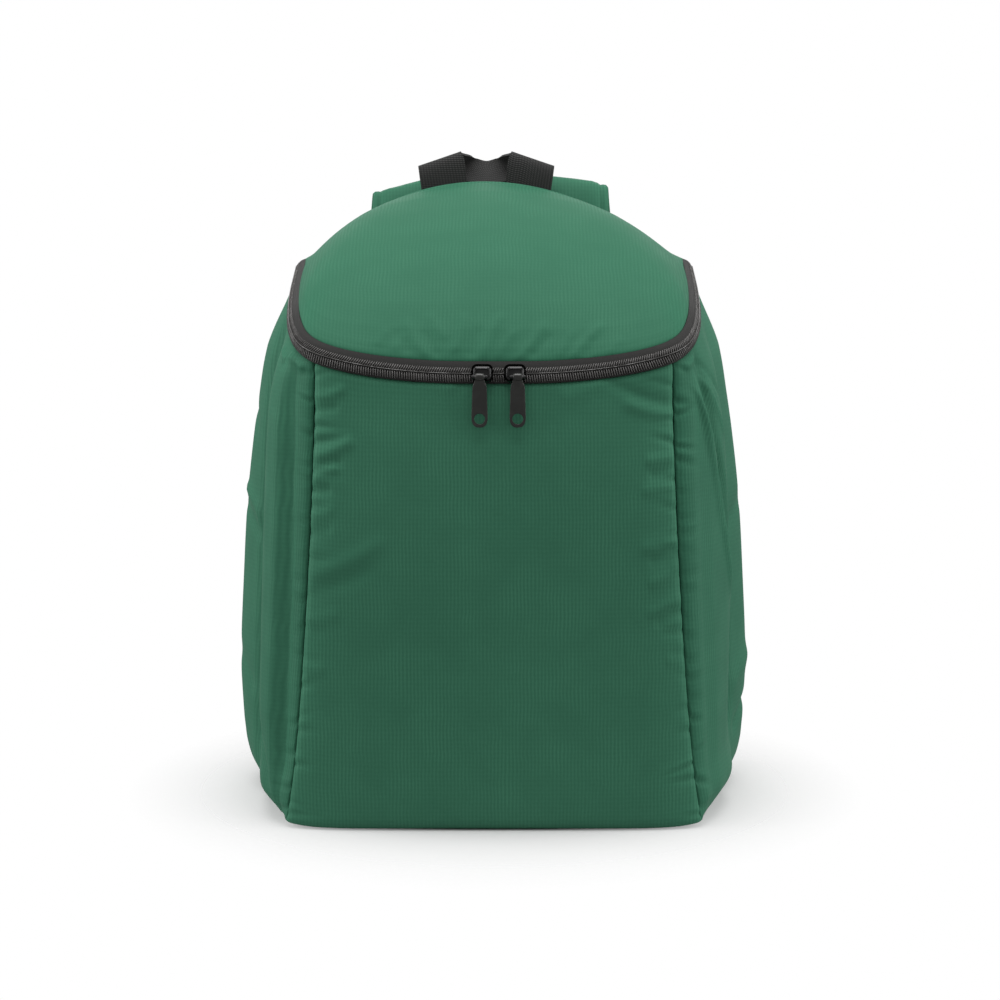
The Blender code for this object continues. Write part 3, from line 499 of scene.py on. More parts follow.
def close_up(made, angle=60.0):
    """Joins a rolled-up grid along its seam, closes its ends and turns its faces out."""
    only(made)
    bpy.ops.object.mode_set(mode="EDIT")
    bpy.ops.mesh.select_mode(type="VERT")
    bpy.ops.mesh.select_all(action="SELECT")
    bpy.ops.mesh.remove_doubles(threshold=0.00001)
    bpy.ops.mesh.select_all(action="DESELECT")
    bpy.ops.mesh.select_non_manifold()
    bpy.ops.mesh.edge_face_add()
    bpy.ops.object.mode_set(mode="OBJECT")
    face_out(made)
    bpy.ops.object.shade_smooth_by_angle(angle=math.radians(angle))


# %% [markdown]
# Three helpers press cloth in: a fold from a table, the round roll beside a seam, and the small
# tucks where a tight thread gathers a seam. The tucks are drawn by a random generator with a fixed
# seed, so that they are the same on every run.

# %% Folds
def crease(flat, rows):
    """Height of the folds in a table, over a flat map of the panel. A row is a fold's two ends,
    how much it bows sideways, its half width and its height, negative for a valley."""
    total = np.zeros(flat.shape[:-1])
    for ax, ay, bx, by, bow, half, height in rows:
        a, b = np.array((ax, ay)) * 0.001, np.array((bx, by)) * 0.001
        span = np.linalg.norm(b - a)
        run = (b - a) / span
        side = np.array((-run[1], run[0]))
        way = (flat - a) @ run / span
        off = (flat - a) @ side - bow * 0.001 * 4 * way * (1 - way)
        fade = np.clip(np.minimum(way, 1 - way) * 4.0 + 0.35, 0.0, 1.0)
        fade = fade * fade * (3 - 2 * fade) * ((way > -0.12) & (way < 1.12))
        total += height * 0.001 * np.exp(-((off / (half * 0.001)) ** 2)) * fade
    return total


def rolled(distance, radius, depth):
    """How far a cloth sinks near its seam, as a round roll of this radius."""
    share = np.clip(1 - distance / radius, 0.0, 1.0)
    return -depth * (1 - np.sqrt(np.clip(1 - share**2, 0.0, 1.0)))


def tucks(distance, place_along, seed, deep=1.0):
    """Small puckers where the thread draws a seam tight: short valleys that run in from it."""
    rng = np.random.default_rng(seed)
    total = np.zeros(distance.shape)
    at = place_along.min() + 0.008
    while at < place_along.max() - 0.006:
        wide, reach = rng.uniform(0.0010, 0.0021), rng.uniform(0.005, 0.014)
        lean, height = rng.uniform(-0.35, 0.35), rng.uniform(0.4, 1.1) * 0.001
        off = place_along - at - lean * distance
        fade = np.exp(-((distance / reach) ** 2)) * np.clip(distance / 0.0012, 0.35, 1.0)
        total -= deep * height * np.exp(-((off / wide) ** 2)) * fade
        total += 0.5 * deep * height * np.exp(-(((off - 2.2 * wide) / (1.4 * wide)) ** 2)) * fade
        at += rng.uniform(0.007, 0.021)
    return total


# %% [markdown]
# ## Front panel
# One strip of padded cloth makes the front and rolls under as the base. Two long seams hold it,
# and they are a little too tight for it, so short puckers run in from both of them.

# %% Front surface
ACROSS, DOWN, UPRIGHT = 150, 240, 170     # steps of the grid, and those above the base
turns = np.linspace(-SEAM_CORNER, SEAM_CORNER, ACROSS + 1)
upright_steps = np.linspace(0.0, CORNER_ROW, UPRIGHT)
steps = np.concatenate([upright_steps[:-1], np.linspace(CORNER_ROW, LAST_ROW, DOWN - UPRIGHT + 2)])
corner_x = zip_at(SEAM_CORNER)[0][0]
share_across = np.array([zip_at(turn)[0][0] for turn in turns]) / corner_x
front = np.zeros((len(steps), ACROSS + 1, 3))
for i, t in enumerate(steps):
    mid_y, mid_z, power = along(MIDDLE_ROWS, t)
    if CORNER_ROW + 1 <= t <= LAST_ROW - 1:
        mid_z = 0.0
    mid_z = max(mid_z, 0.0)
    seam = seam_at(t)
    square = np.abs(share_across) ** power
    front[i, :, 0] = seam[0] * share_across
    front[i, :, 1] = mid_y + (seam[1] - mid_y) * square
    front[i, :, 2] = mid_z + (seam[2] - mid_z) * square
to_zip = np.array([low_line(turn) for turn in turns]) - front[0]
front += to_zip[None] * (np.maximum(0.0, 1.0 - steps / 2.0) ** 1.5)[:, None, None]
print("front surface", front.shape)

# %% Front puckers
FRONT_LOWEST, GUSSET_LOWEST = 0.0001, 0.0004     # the base lies on the floor, the gussets above it
FRONT_FOLDS = (
    # from x, z  to x, z  bow, half width, height in mm
    (-102, 143, -60, 163, -2.0, 4.2, 0.8), (-101, 134, -66, 148, -2.0, 3.8, -0.6),
    (-98, 208, -76, 218, -1.0, 3.4, 1.1), (-98, 203, -82, 206, 0.0, 2.6, -0.9),
    (-99, 197, -84, 203, 0.0, 2.6, 0.9), (-99, 190, -88, 191, 0.0, 2.2, -0.8),
    (-99, 239, -80, 246, -1.0, 3.0, 0.8), (-99, 233, -84, 235, 0.0, 2.4, -0.7),
    (-101, 175, -86, 180, 0.0, 2.6, 0.7), (-101, 168, -88, 169, 0.0, 2.2, -0.8),
    (-103, 118, -84, 122, 0.0, 3.2, 0.6), (-105, 90, -92, 92, 0.0, 3.0, 0.5),
    (98, 236, 62, 250, 2.0, 3.4, -0.8), (98, 230, 70, 238, 1.0, 3.6, 0.9),
    (99, 208, 82, 206, 0.0, 3.0, 0.9), (99, 201, 84, 198, 0.0, 2.4, -0.8),
    (99, 192, 80, 190, 0.0, 3.0, 0.8), (101, 163, 80, 158, 0.0, 3.2, 0.9),
    (101, 155, 84, 151, 0.0, 2.6, -0.8), (102, 145, 84, 139, 0.0, 3.0, 0.9),
    (103, 132, 84, 121, 0.0, 3.2, 0.9), (103, 124, 88, 116, 0.0, 2.4, -0.7),
    (105, 98, 94, 96, 0.0, 2.8, 0.5),
    (-40, 252, -20, 246, 0.0, 4.0, 0.5), (60, 249, 36, 240, 0.0, 4.5, 0.5),
)
front_way = outward(front, BAG_HEART)
span = lengths(front)
to_left = np.linalg.norm(front - front[:, :1], axis=2)
to_right = np.linalg.norm(front - front[:, -1:], axis=2)
to_seam = np.minimum(to_left, to_right)
to_top = span[:, :, 1]
height = rolled(to_seam, 0.0050, 0.0022) + rolled(to_top, 0.0045, 0.0020)
flat = front[:, :, (0, 2)]
on_front = np.clip((7.2 - steps) / 0.8, 0.0, 1.0)[:, None]
height += crease(flat, FRONT_FOLDS) * on_front
height += (tucks(to_left, front[:, :, 2], 5) + tucks(to_right, front[:, :, 2], 6, 1.2)) * on_front
drawn_in = front + front_way * height[:, :, None]
drawn_in[:, :, 2] = np.maximum(drawn_in[:, :, 2], FRONT_LOWEST)
middle_down = np.broadcast_to(to_top[:, ACROSS // 2][:, None], to_top.shape)
weave_map = np.stack([front[:, :, 0], -middle_down], axis=2)
front_cloth = lay("front_cloth", drawn_in, weave_map)
finish_cloth(front_cloth, 0.0030, FRONT_GREEN_PAINTED_LIGHT, "front_panel")

# %% [markdown]
# ## Side gussets
# Each gusset is one panel from the front seam back to the back panel. It swells into a front
# lobe and a back lobe with a soft fold between them. Its grid is stretched between its four seams,
# so that it meets its neighbours exactly, and then swells between them. The two sides share the
# surface, and each has its own folds, since the photograph shows them unlike.

# %% Gusset surface
BACK_EDGE = (
    # across, height
    (0.8673, 0.0217), (0.9048, 0.1186), (0.9184, 0.2767), (0.9184, 0.4743),
    (0.9082, 0.6719), (0.8844, 0.8696), (0.8469, 1.0474), (0.8041, 1.1565),
)
SWELL = 0.0135
FINE_TO = 8.6     # the grid is finer up to this row of the seam, where the roll is
SWELL_ACROSS = (0.0, 0.05, 0.16, 0.40, 0.54, 0.78, 1.0)
SWELL_ROWS = (
    # height, seam, roll, valley, lobe, fold, lobe, back
    (0.00, 0.0, 0.000, 0.000, 0.000, 0.000, 0.000, 0.0),
    (0.05, 0.0, 0.330, 0.570, 0.760, 0.400, 0.400, 0.0),
    (0.12, 0.0, 0.259, 0.481, 0.690, 0.407, 0.556, 0.0),
    (0.25, 0.0, 0.296, 0.519, 0.800, 0.407, 0.704, 0.0),
    (0.42, 0.0, 0.296, 0.481, 0.950, 0.407, 0.704, 0.0),
    (0.60, 0.0, 0.296, 0.444, 1.000, 0.444, 0.704, 0.0),
    (0.78, 0.0, 0.281, 0.407, 0.926, 0.481, 0.593, 0.0),
    (0.90, 0.0, 0.259, 0.330, 0.640, 0.400, 0.480, 0.0),
    (1.00, 0.0, 0.000, 0.000, 0.000, 0.000, 0.000, 0.0),
)


def where(line, axis, share, first, last):
    """Where the line has covered this share of its way along an axis."""
    start, end = line(first)[axis], line(last)[axis]
    low, high = first, last
    for _ in range(36):
        middle = (low + high) / 2
        if (line(middle)[axis] - start) / (end - start) < share:
            low = middle
        else:
            high = middle
    return (low + high) / 2


def back_edge(height):
    rows = [(z * ZIP_HEIGHT, x * HALF_WIDTH) for x, z in BACK_EDGE]
    return np.array((at_share(rows, height)[0], BACK_FACE, height))


corner, seam_top = seam_at(CORNER_ROW), seam_at(0)
up_steps = np.linspace(CORNER_ROW, 0.0, 171)
under_steps = np.concatenate(
    [np.linspace(CORNER_ROW, FINE_TO, 71)[:-1], np.linspace(FINE_TO, LAST_ROW, 90)])
ups = np.array([(seam_at(t)[2] - corner[2]) / (seam_top[2] - corner[2]) for t in up_steps])
backs = np.array([(seam_at(t)[1] - corner[1]) / (BACK_FACE - corner[1]) for t in under_steps])
ups[0], ups[-1], backs[0], backs[-1] = 0.0, 1.0, 0.0, 1.0
tops = [where(low_line, 1, share, SEAM_CORNER, ZIP_END) for share in backs]
tops[0], tops[-1] = SEAM_CORNER, ZIP_END
back_top, back_bottom = low_line(ZIP_END), seam_at(LAST_ROW)
lows = np.array([seam_at(t) for t in under_steps])
highs = np.array([low_line(t) for t in tops])
gusset = np.zeros((len(ups), len(backs), 3))
swell = np.zeros((len(ups), len(backs)))
for i, up in enumerate(ups):
    fore = seam_at(up_steps[i])
    rear = back_edge(back_bottom[2] + (back_top[2] - back_bottom[2]) * up)
    if i == len(ups) - 1:
        rear = back_top
    b = backs[:, None]
    low_ends, high_ends = corner * (1 - b) + back_bottom * b, seam_top * (1 - b) + back_top * b
    corners = low_ends * (1 - up) + high_ends * up
    gusset[i] = fore * (1 - b) + rear * b + lows * (1 - up) + highs * up - corners
    rows = list(zip(SWELL_ACROSS, at_share(SWELL_ROWS, up)))
    swell[i] = [at_share(rows, back)[0] * SWELL for back in backs]
b_way = np.minimum(backs / 0.25, 1.0)
swell_way = unit(np.stack([0.55 + 0.45 * b_way, -0.6 * (1 - b_way), 0 * b_way], axis=1))
gusset += swell[:, :, None] * swell_way[None]
print("gusset surface", gusset.shape)

# %% Gusset folds
gusset_way = outward(gusset, BAG_HEART)
gusset_map = lengths(gusset)
to_fore = np.linalg.norm(gusset - gusset[:, :1], axis=2)
to_rear = np.linalg.norm(gusset - gusset[:, -1:], axis=2)
to_low = np.linalg.norm(gusset - gusset[:1], axis=2)
to_high = np.linalg.norm(gusset - gusset[-1:], axis=2)
PROFILE_HEIGHTS = (
    # height share, how much of the profile shows there
    (0.0, 0.0), (0.05, 0.45), (0.12, 0.8), (0.22, 1.0), (0.55, 1.0), (0.85, 0.95), (0.94, 0.6),
    (1.0, 0.0),
)
GUSSET_PROFILE = {
    # way back, mm outwards, from the front seam to the back panel
    -1: (
        (0.0, 0.0), (0.02, -0.5), (0.05, -1.2), (0.068, -1.2), (0.079, 3.0), (0.090, 6.6),
        (0.105, 7.6), (0.13, 7.6), (0.16, 7.2), (0.20, 5.8), (0.25, 2.2), (0.32, -2.8), (0.39, -6.8),
        (0.43, -8.4), (0.47, -7.4), (0.50, -6.2), (0.525, -3.6), (0.55, 0.8), (0.58, 2.0),
        (0.62, 2.6), (0.68, 2.4), (0.78, 1.2), (0.91, 0.4), (1.0, 0.0),
    ),
    1: (
        (0.0, 0.0), (0.03, 1.0), (0.07, 0.7), (0.10, 0.0), (0.16, 1.6), (0.22, 1.6), (0.30, 0.2),
        (0.42, -3.6), (0.50, -2.4), (0.55, -0.6), (0.62, 0.6), (0.68, 0.8), (0.78, 0.2),
        (0.91, 0.2), (1.0, 0.0),
    ),
}
edge_roll = rolled(to_fore, 0.0050, 0.0022) + rolled(to_low, 0.0050, 0.0022)
edge_roll += rolled(to_rear, 0.0040, 0.0016) + rolled(to_high, 0.0045, 0.0016)
GUSSET_FOLDS = {
    # from y, z  to y, z  bow, half width, height in mm
    -1: (
        (-62, 14, -8, 90, 6.0, 4.0, -2.2), (-10, 200, 12, 272, 2.0, 3.4, -2.0),
        (4, 160, 40, 176, 3.0, 3.6, 1.6), (8, 150, 44, 166, 3.0, 3.2, -1.8),
        (-64, 255, -52, 262, 0.0, 2.2, 1.6), (-50, 258, -38, 264, 0.0, 2.0, 1.4),
        (10, 60, 44, 80, 4.0, 6.0, -1.2), (20, 210, 52, 226, 2.0, 5.0, -1.0),
    ),
    1: (
        (-52, 262, -32, 185, 0.0, 3.4, -2.6), (-34, 200, 6, 90, 2.0, 3.6, -3.0),
        (5, 105, 4, 40, 0.0, 3.6, -2.4),
        (12, 36, 50, 50, 3.0, 4.0, -2.0), (10, 60, 46, 76, 3.0, 7.0, 1.4),
        (-64, 255, -52, 262, 0.0, 2.2, 1.2), (0, 150, 46, 168, 4.0, 5.0, -1.2),
        (-60, 252, -18, 120, -3.0, 2.6, 2.2), (-52, 254, -8, 124, -3.0, 2.6, -1.6),
        (-62, 246, -40, 196, 0.0, 1.8, 1.2), (-56, 258, -22, 214, 0.0, 2.0, 1.4),
        (-50, 258, -10, 228, 0.0, 2.0, -1.0),
    ),
}
for side, name, slot in ((-1, "left", "green_side_cloth"), (1, "right", "green_side_cloth_right")):
    shape = np.array([at_share(GUSSET_PROFILE[side], back)[0] for back in backs])
    much = np.array([np.interp(up, *zip(*PROFILE_HEIGHTS)) for up in ups])
    height = edge_roll + crease(gusset[:, :, (1, 2)], GUSSET_FOLDS[side])
    height += tucks(to_fore, gusset[:, :, 2], 20 + side)
    surface = gusset + gusset_way * height[:, :, None]
    surface[:, :, 0] += 0.001 * much[:, None] * shape[None]
    surface *= np.array((side, 1.0, 1.0))
    surface[:, :, 2] = np.maximum(surface[:, :, 2], GUSSET_LOWEST)
    made = lay("gusset_cloth_" + name, surface, gusset_map)
    finish_cloth(made, 0.0028, SIDE_GREEN, "side_gusset_" + name)

# %% [markdown]
# ## Lid
# The lid is a soft dome between the zip and the round top of the back panel. Its cloth is
# gathered a little along the zip, so small folds rise from it. Straight lines from the zip to the
# arch give the grid, and a puff lifts them into a dome. A part of a ball would be quicker, but it
# wouldn't meet both seams.

# %% Lid surface
PUFF = 0.019
PUFF_ROWS = (
    # way up, puff
    (0.00, 0.00), (0.05, 0.24), (0.12, 0.50), (0.22, 0.76), (0.36, 0.95),
    (0.52, 1.00), (0.68, 0.90), (0.82, 0.66), (0.93, 0.32), (1.00, 0.00),
)
DOME_MIDDLE = np.array((0.0, DEPTH * 0.19, ZIP_HEIGHT * 0.75))
LID_STEPS, ARCH_STEPS = 250, 56
ARCH_RADIUS, ARCH_TOP, ARCH_LEAN, ARCH_WIDER = 0.1465, ZIP_HEIGHT + 0.097, -0.0060, 0.985
ARCH_END = ZIP_HEIGHT + 0.060
ARCH_MIDDLE = ARCH_TOP - ARCH_RADIUS
ARCH_TURN = math.acos((ARCH_END - ARCH_MIDDLE) / ARCH_RADIUS)


def arch_at(turn):
    """Point of the back panel's round top, an angle from its middle."""
    height = ARCH_MIDDLE + ARCH_RADIUS * math.cos(turn)
    lean = ARCH_LEAN * (height - back_top[2]) / (ARCH_TOP - back_top[2])
    return np.array((ARCH_WIDER * ARCH_RADIUS * math.sin(turn) + lean, BACK_FACE, height))


def distance_along(line):
    """How far each point of a line is from its start."""
    return np.concatenate([[0.0], np.cumsum(np.linalg.norm(np.diff(line, axis=0), axis=1))])


def even_turns(count):
    """Places along the whole zip at even distances."""
    fine = np.linspace(-ZIP_END, ZIP_END, 1201)
    far = distance_along(np.array([zip_at(t)[0] for t in fine]))
    return np.interp(np.linspace(0.0, far[-1], count + 1), far, fine), far[-1]


lid_turns, zip_length = even_turns(LID_STEPS)
lid_turns[0], lid_turns[-1] = -ZIP_END, ZIP_END
lid_edge = np.array([zip_cross(t, LID_START, 0.0006) for t in lid_turns])
way = distance_along(lid_edge)
way /= way[-1]
shares = np.linspace(0.0, 1.0, 121) ** 1.15
puffs = np.array([at_share(PUFF_ROWS, share)[0] for share in shares])
arch = np.array([arch_at((2 * w - 1) * ARCH_TURN) for w in way])
lid = lid_edge[None] * (1 - shares)[:, None, None] + arch[None] * shares[:, None, None]
most = PUFF * (1 - np.abs(2 * way - 1) ** 1.3)
lid += unit(lid - DOME_MIDDLE) * (puffs[:, None] * most[None])[:, :, None]
print("lid surface", lid.shape, "zip", round(zip_length * 1000), "mm")

# %% Lid gathers
lid_way = outward(lid, DOME_MIDDLE)
to_zip = np.linalg.norm(lid - lid[:1], axis=2)
to_arch = np.linalg.norm(lid - lid[-1:], axis=2)
GATHER_SHARE, END_FADE = 0.75, 0.04
LID_FOLDS = (
    # from x, z  to x, z  bow, half width, height in mm
    (-64, 268, -58, 276, 0.0, 2.2, 0.6), (-54, 265, -48, 274, 0.0, 2.0, 0.6),
    (-36, 262, -48, 281, 1.0, 2.2, 1.1), (-26, 271, -36, 284, 0.0, 2.2, 0.8),
    (-22, 264, -16, 284, -1.0, 2.2, 1.1), (-6, 261, 4, 284, 1.0, 2.4, 1.2),
    (2, 261, 12, 276, 1.0, 2.0, 0.9), (12, 260, 28, 280, -1.0, 2.3, 1.1),
    (35, 262, 43, 276, 0.0, 2.2, 0.8), (42, 261, 60, 279, 1.0, 2.4, 1.1),
    (-30, 262, -38, 276, 0.0, 1.8, -0.7), (-13, 262, -8, 278, 0.0, 2.4, -0.9),
    (20, 262, 31, 274, 0.0, 2.2, -0.8), (50, 262, 54, 272, 0.0, 2.4, -0.7),
    (-46, 264, -54, 276, 0.0, 2.2, -0.6), (62, 264, 70, 272, 0.0, 2.4, 0.5),
)
height = rolled(to_zip, 0.0040, 0.0016) + rolled(to_arch, 0.0040, 0.0016)
height += GATHER_SHARE * crease(lid[:, :, (0, 2)], LID_FOLDS)
height *= np.clip(np.minimum(way, 1 - way) / END_FADE, 0.0, 1.0)
middle_up = lengths(lid)[:, LID_STEPS // 2, 1][:, None]
lid_map = np.stack([lid[:, :, 0], np.broadcast_to(middle_up, to_zip.shape)], axis=2)
lid_cloth = lay("lid_cloth", lid + lid_way * height[:, :, None], lid_map)
finish_cloth(lid_cloth, 0.0030, LID_GREEN_PAINTED_SHADE, "lid", DOME_MIDDLE)

# %% [markdown]
# ## Back panel
# The back panel lies against the wearer, padded but nearly flat, with a rounded edge and a groove
# where it is stitched. Its outline joins the gussets' rear seams to the lid's arch. A grid is
# rolled around rings of that outline, which give the edge its roll and its groove, and one flat
# face closes it in front and behind. A bevelled plate would have the roll but not the groove.

# %% Back panel
RIM_STEPS, FLOOR_STEPS = 200, 80
outline = [back_edge(z * ZIP_HEIGHT) for _, z in BACK_EDGE[:-1]] + [back_top]
right_side = outline[::-1]
outline += [arch_at(ARCH_TURN * (1 - 2 * k / ARCH_STEPS)) for k in range(ARCH_STEPS + 1)]
outline += [p * np.array((-1.0, 1.0, 1.0)) for p in right_side]
outline = np.array(outline)[:, (0, 2)]
far = distance_along(outline)
even = np.linspace(0.0, far[-1], RIM_STEPS + 1)
rim = np.stack([np.interp(even, far, outline[:, 0]), np.interp(even, far, outline[:, 1])], axis=1)
floor_x = np.linspace(rim[-1, 0], rim[0, 0], FLOOR_STEPS)[1:-1]
floor_line = np.stack([floor_x, np.full(len(floor_x), rim[0, 1])], axis=1)
rim = np.concatenate([rim, floor_line, rim[:1]])
RIM_IN, BACK_LOWEST = 0.0002, 0.0034
BACK_RINGS = (
    # how far in from the rim, depth off the front face, in metres
    (0.0006, 0.0000), (0.0000, 0.0008), (-0.0007, 0.0020), (-0.0004, 0.0036), (0.0010, 0.0046),
    (0.0030, 0.0044), (0.0046, 0.0036), (0.0062, 0.0040), (0.0100, 0.0049), (0.0200, 0.0053),
    (0.0400, 0.0053),
)
middle = np.array((0.0, ARCH_TOP / 2))
rings = []
for inward, off in BACK_RINGS:
    ring = rim + unit(middle - rim) * (inward + RIM_IN)
    depth = np.full(len(ring), BACK_FACE + GAP + min(off, BACK_WALL))
    rings.append(np.stack([ring[:, 0], depth, np.maximum(ring[:, 1], BACK_LOWEST)], axis=1))
back_cloth = lay("back_cloth", np.array(rings))
close_up(back_cloth)
bpy.ops.object.shade_smooth(keep_sharp_edges=False)
mesh = back_cloth.data
corner_of = np.zeros(len(mesh.loops), int)
mesh.loops.foreach_get("vertex_index", corner_of)
place = np.zeros(len(mesh.vertices) * 3)
mesh.vertices.foreach_get("co", place)
flat_map = place.reshape(-1, 3)[corner_of][:, (0, 2)]      # the two flat faces need their map too
mesh.uv_layers["weave"].data.foreach_set("uv", flat_map.ravel())
back_cloth.data.materials.append(BACK_GREEN)
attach(back_cloth, "bag")
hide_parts("back_panel")
print("back panel", len(mesh.polygons), "faces")

# %% [markdown]
# ## Zip
# A coil zip: two woven tapes, each with a row of nylon coil along its inner edge, and a thin cord
# where the rows meet. The tapes are narrow ribbons on the zip's own surface. One tooth of the coil
# is modelled and then copied, a copy every 1.3 mm on both sides, the lower row half a tooth behind
# the upper one. An array on a curve would be less work, but its copies would follow the curve's
# own twist, not the tilt of the chain.

# %% Tapes
tape_turns, _ = even_turns(300)
tape_turns[0], tape_turns[-1] = -ZIP_END, ZIP_END


def woven_ribbon(name, surface, thick, material, node):
    """A strip of tape or webbing with its thickness, from the surface of its middle."""
    made = lay(name, surface)
    made.data.materials.append(material)
    only(made)
    wall = made.modifiers.new("wall", "SOLIDIFY")
    wall.thickness, wall.offset = thick, 0.0
    bpy.ops.object.modifier_apply(modifier=wall.name)
    face_out(made)
    bpy.ops.object.shade_smooth_by_angle(angle=math.radians(50))
    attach(made, "bag")
    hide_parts(node)
    print(name, len(made.data.polygons), "faces")


TAPE_WALL, TAPE_BULGE = 0.0006, 0.0004
TAPES = (
    # name, inner edge, outer edge, lift, slot, node
    ("zip_tape_top", -0.0006, COIL_HALF + 0.0036, 0.0002, "black_tape_upper", "zip_tape_upper"),
    ("zip_tape_under", -0.0004, -(COIL_HALF + 0.0014), -0.0006, "black_tape_lower", "zip_tape_lower"),
)
for name, near, far, lift, slot, node in TAPES:
    rises = np.linspace(near, far, 9)
    lifts = lift + TAPE_BULGE * (1 - (np.linspace(-1, 1, 9)) ** 2)
    surface = np.array([[zip_cross(t, *place) for place in zip(rises, lifts)] for t in tape_turns])
    woven_ribbon(name, surface, TAPE_WALL, TAPE_BLACK, node)

# %% Coil teeth
TOOTH_PITCH, TOOTH_RADIUS, TOOTH_LONG, TOOTH_BEVEL = 0.00130, 0.00036, 0.0034, 0.00028
TOOTH_LIFT, TOOTH_DROP = 0.0013, -0.0007
TOOTH_SIDES = {1: (1.0, 0.42, 0.00185), -1: (1.2, 0.12, 0.00235)}    # length, slant, middle


def tooth():
    """One turn of the coil as it shows from outside: a short round bar with softened ends."""
    only()
    bpy.ops.mesh.primitive_cylinder_add(
        vertices=8, radius=TOOTH_RADIUS, depth=TOOTH_LONG, rotation=(math.pi / 2, 0, 0))
    made = bpy.context.object
    bpy.ops.object.transform_apply(location=False, rotation=True, scale=False)
    bpy.ops.object.mode_set(mode="EDIT")
    bpy.ops.mesh.select_all(action="DESELECT")
    bpy.ops.object.mode_set(mode="OBJECT")
    for face in made.data.polygons:
        face.select = abs(face.normal.y) > 0.9
    bpy.ops.object.mode_set(mode="EDIT")
    bpy.ops.mesh.bevel(offset=TOOTH_BEVEL, offset_type="OFFSET", segments=1, affect="EDGES")
    bpy.ops.object.mode_set(mode="OBJECT")
    return made


bar = tooth()
bar_points = np.array([tuple(v.co) for v in bar.data.vertices])
bar_faces = [tuple(p.vertices) for p in bar.data.polygons]
bpy.data.objects.remove(bar, do_unlink=True)


def zip_frame(t, side=1):
    """Heart of the chain, its run, its face, and the way from the heart to this side's tips."""
    heart, tip = zip_cross(t, side * 0.0001), zip_cross(t, side * TOOTH_LONG)
    _, run, face, _ = zip_at(t)
    up = unit(tip - heart)
    return heart, run, unit(face - up * face.dot(up)), up


def row_of_teeth(side):
    """Points and faces of one row of the coil, side 1 for the upper one. Each bar is slanted, and
    its outer end bends down."""
    longer, slanted, middle = TOOTH_SIDES[side]
    count = int(zip_length / TOOTH_PITCH)
    turns_at, _ = even_turns(2 * count)
    points, faces = [], []
    for k in range(2, 2 * count - 2, 2):
        root, run, face, up = zip_frame(turns_at[k + (1 if side < 0 else 0)], side)
        shape = bar_points * np.array((1.0, longer, 1.0))
        slant = shape[:, 1] * slanted
        drop = TOOTH_DROP * np.clip(shape[:, 1] / (TOOTH_LONG / 2), 0, 1) ** 2
        placed = root + run * (shape[:, 0] + slant)[:, None] + up * (shape[:, 1] + middle)[:, None]
        placed = placed + face * (TOOTH_LIFT + shape[:, 2] * 1.2 + drop)[:, None]
        start = len(points) * len(bar_points)
        points.append(placed)
        faces += [tuple(start + v for v in f) for f in bar_faces]
    return np.concatenate(points), faces


for side, name in ((1, "zip_coil_top"), (-1, "zip_coil_under")):
    points, faces = row_of_teeth(side)
    mesh = bpy.data.meshes.new(name)
    mesh.from_pydata([tuple(p) for p in points + np.array((0, SHIFT, 0))], [], faces)
    made = bpy.data.objects.new(name, mesh)
    bpy.context.collection.objects.link(made)
    face_out(made)
    bpy.ops.object.shade_smooth()
    mesh.materials.append(COIL_BLACK)
    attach(made, "bag")
    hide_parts("zip_chain")
    print(name, len(mesh.polygons), "faces")

# %% Coil cord
CORD_LIFT, CORD_RADIUS, CORD_STEPS = 0.0018, 0.00024, 500
turn = np.linspace(0, 2 * math.pi, 7)[:, None]
cord_rings = []
for t in even_turns(CORD_STEPS)[0]:
    heart, _, face, up = zip_frame(t)
    ring = CORD_RADIUS * (up * np.cos(turn) + face * np.sin(turn))
    cord_rings.append(heart + face * CORD_LIFT + ring)
cord = lay("zip_coil_cord", np.array(cord_rings))
cord.data.materials.append(CORD_BLACK)
close_up(cord)
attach(cord, "bag")
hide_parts("zip_chain")
print("coil cord", len(cord.data.polygons), "faces")

# %% [markdown]
# ## Sliders and pulls
# Two lacquered sliders stand nose to nose on the chain. Each is a rounded body with a hollow top
# and a crown bar across it, and a flat pull with a round window hangs from the bar by its eye. A
# cube, a cylinder, a torus and two bridged circles give these shapes, and a fine bevel softens
# every edge, so that the lacquer catches the light as in the photograph.

# %% Sliders
SLIDER_MIDDLE, SLIDER_OFF = 0.0026, 0.0101
BAR_RAISE, BAR_BELOW, POST_OUT = 0.0066, 0.0030, 0.0036
BODY_LONG, BODY_WIDE, BODY_DEEP, BODY_AHEAD, BODY_OFF = 0.0118, 0.0096, 0.0032, 0.0014, 0.0009
POST_SIZE, POST_MIDDLE, BAR_RADIUS = (0.0012, 0.0019, 0.0044), 0.0051, 0.00085


def soften(made, width, steps=2):
    """A fine bevel on every sharp edge."""
    only(made)
    edge = made.modifiers.new("soft edge", "BEVEL")
    edge.width, edge.segments = width, steps
    edge.limit_method, edge.angle_limit = "ANGLE", math.radians(35)
    bpy.ops.object.modifier_apply(modifier=edge.name)


def pick_faces(made, low):
    """Selects the faces that look up more than this."""
    bpy.ops.object.mode_set(mode="EDIT")
    bpy.ops.mesh.select_all(action="DESELECT")
    bpy.ops.object.mode_set(mode="OBJECT")
    for face in made.data.polygons:
        face.select = face.normal.z > low
    bpy.ops.object.mode_set(mode="EDIT")
    bpy.ops.mesh.select_mode(type="FACE")


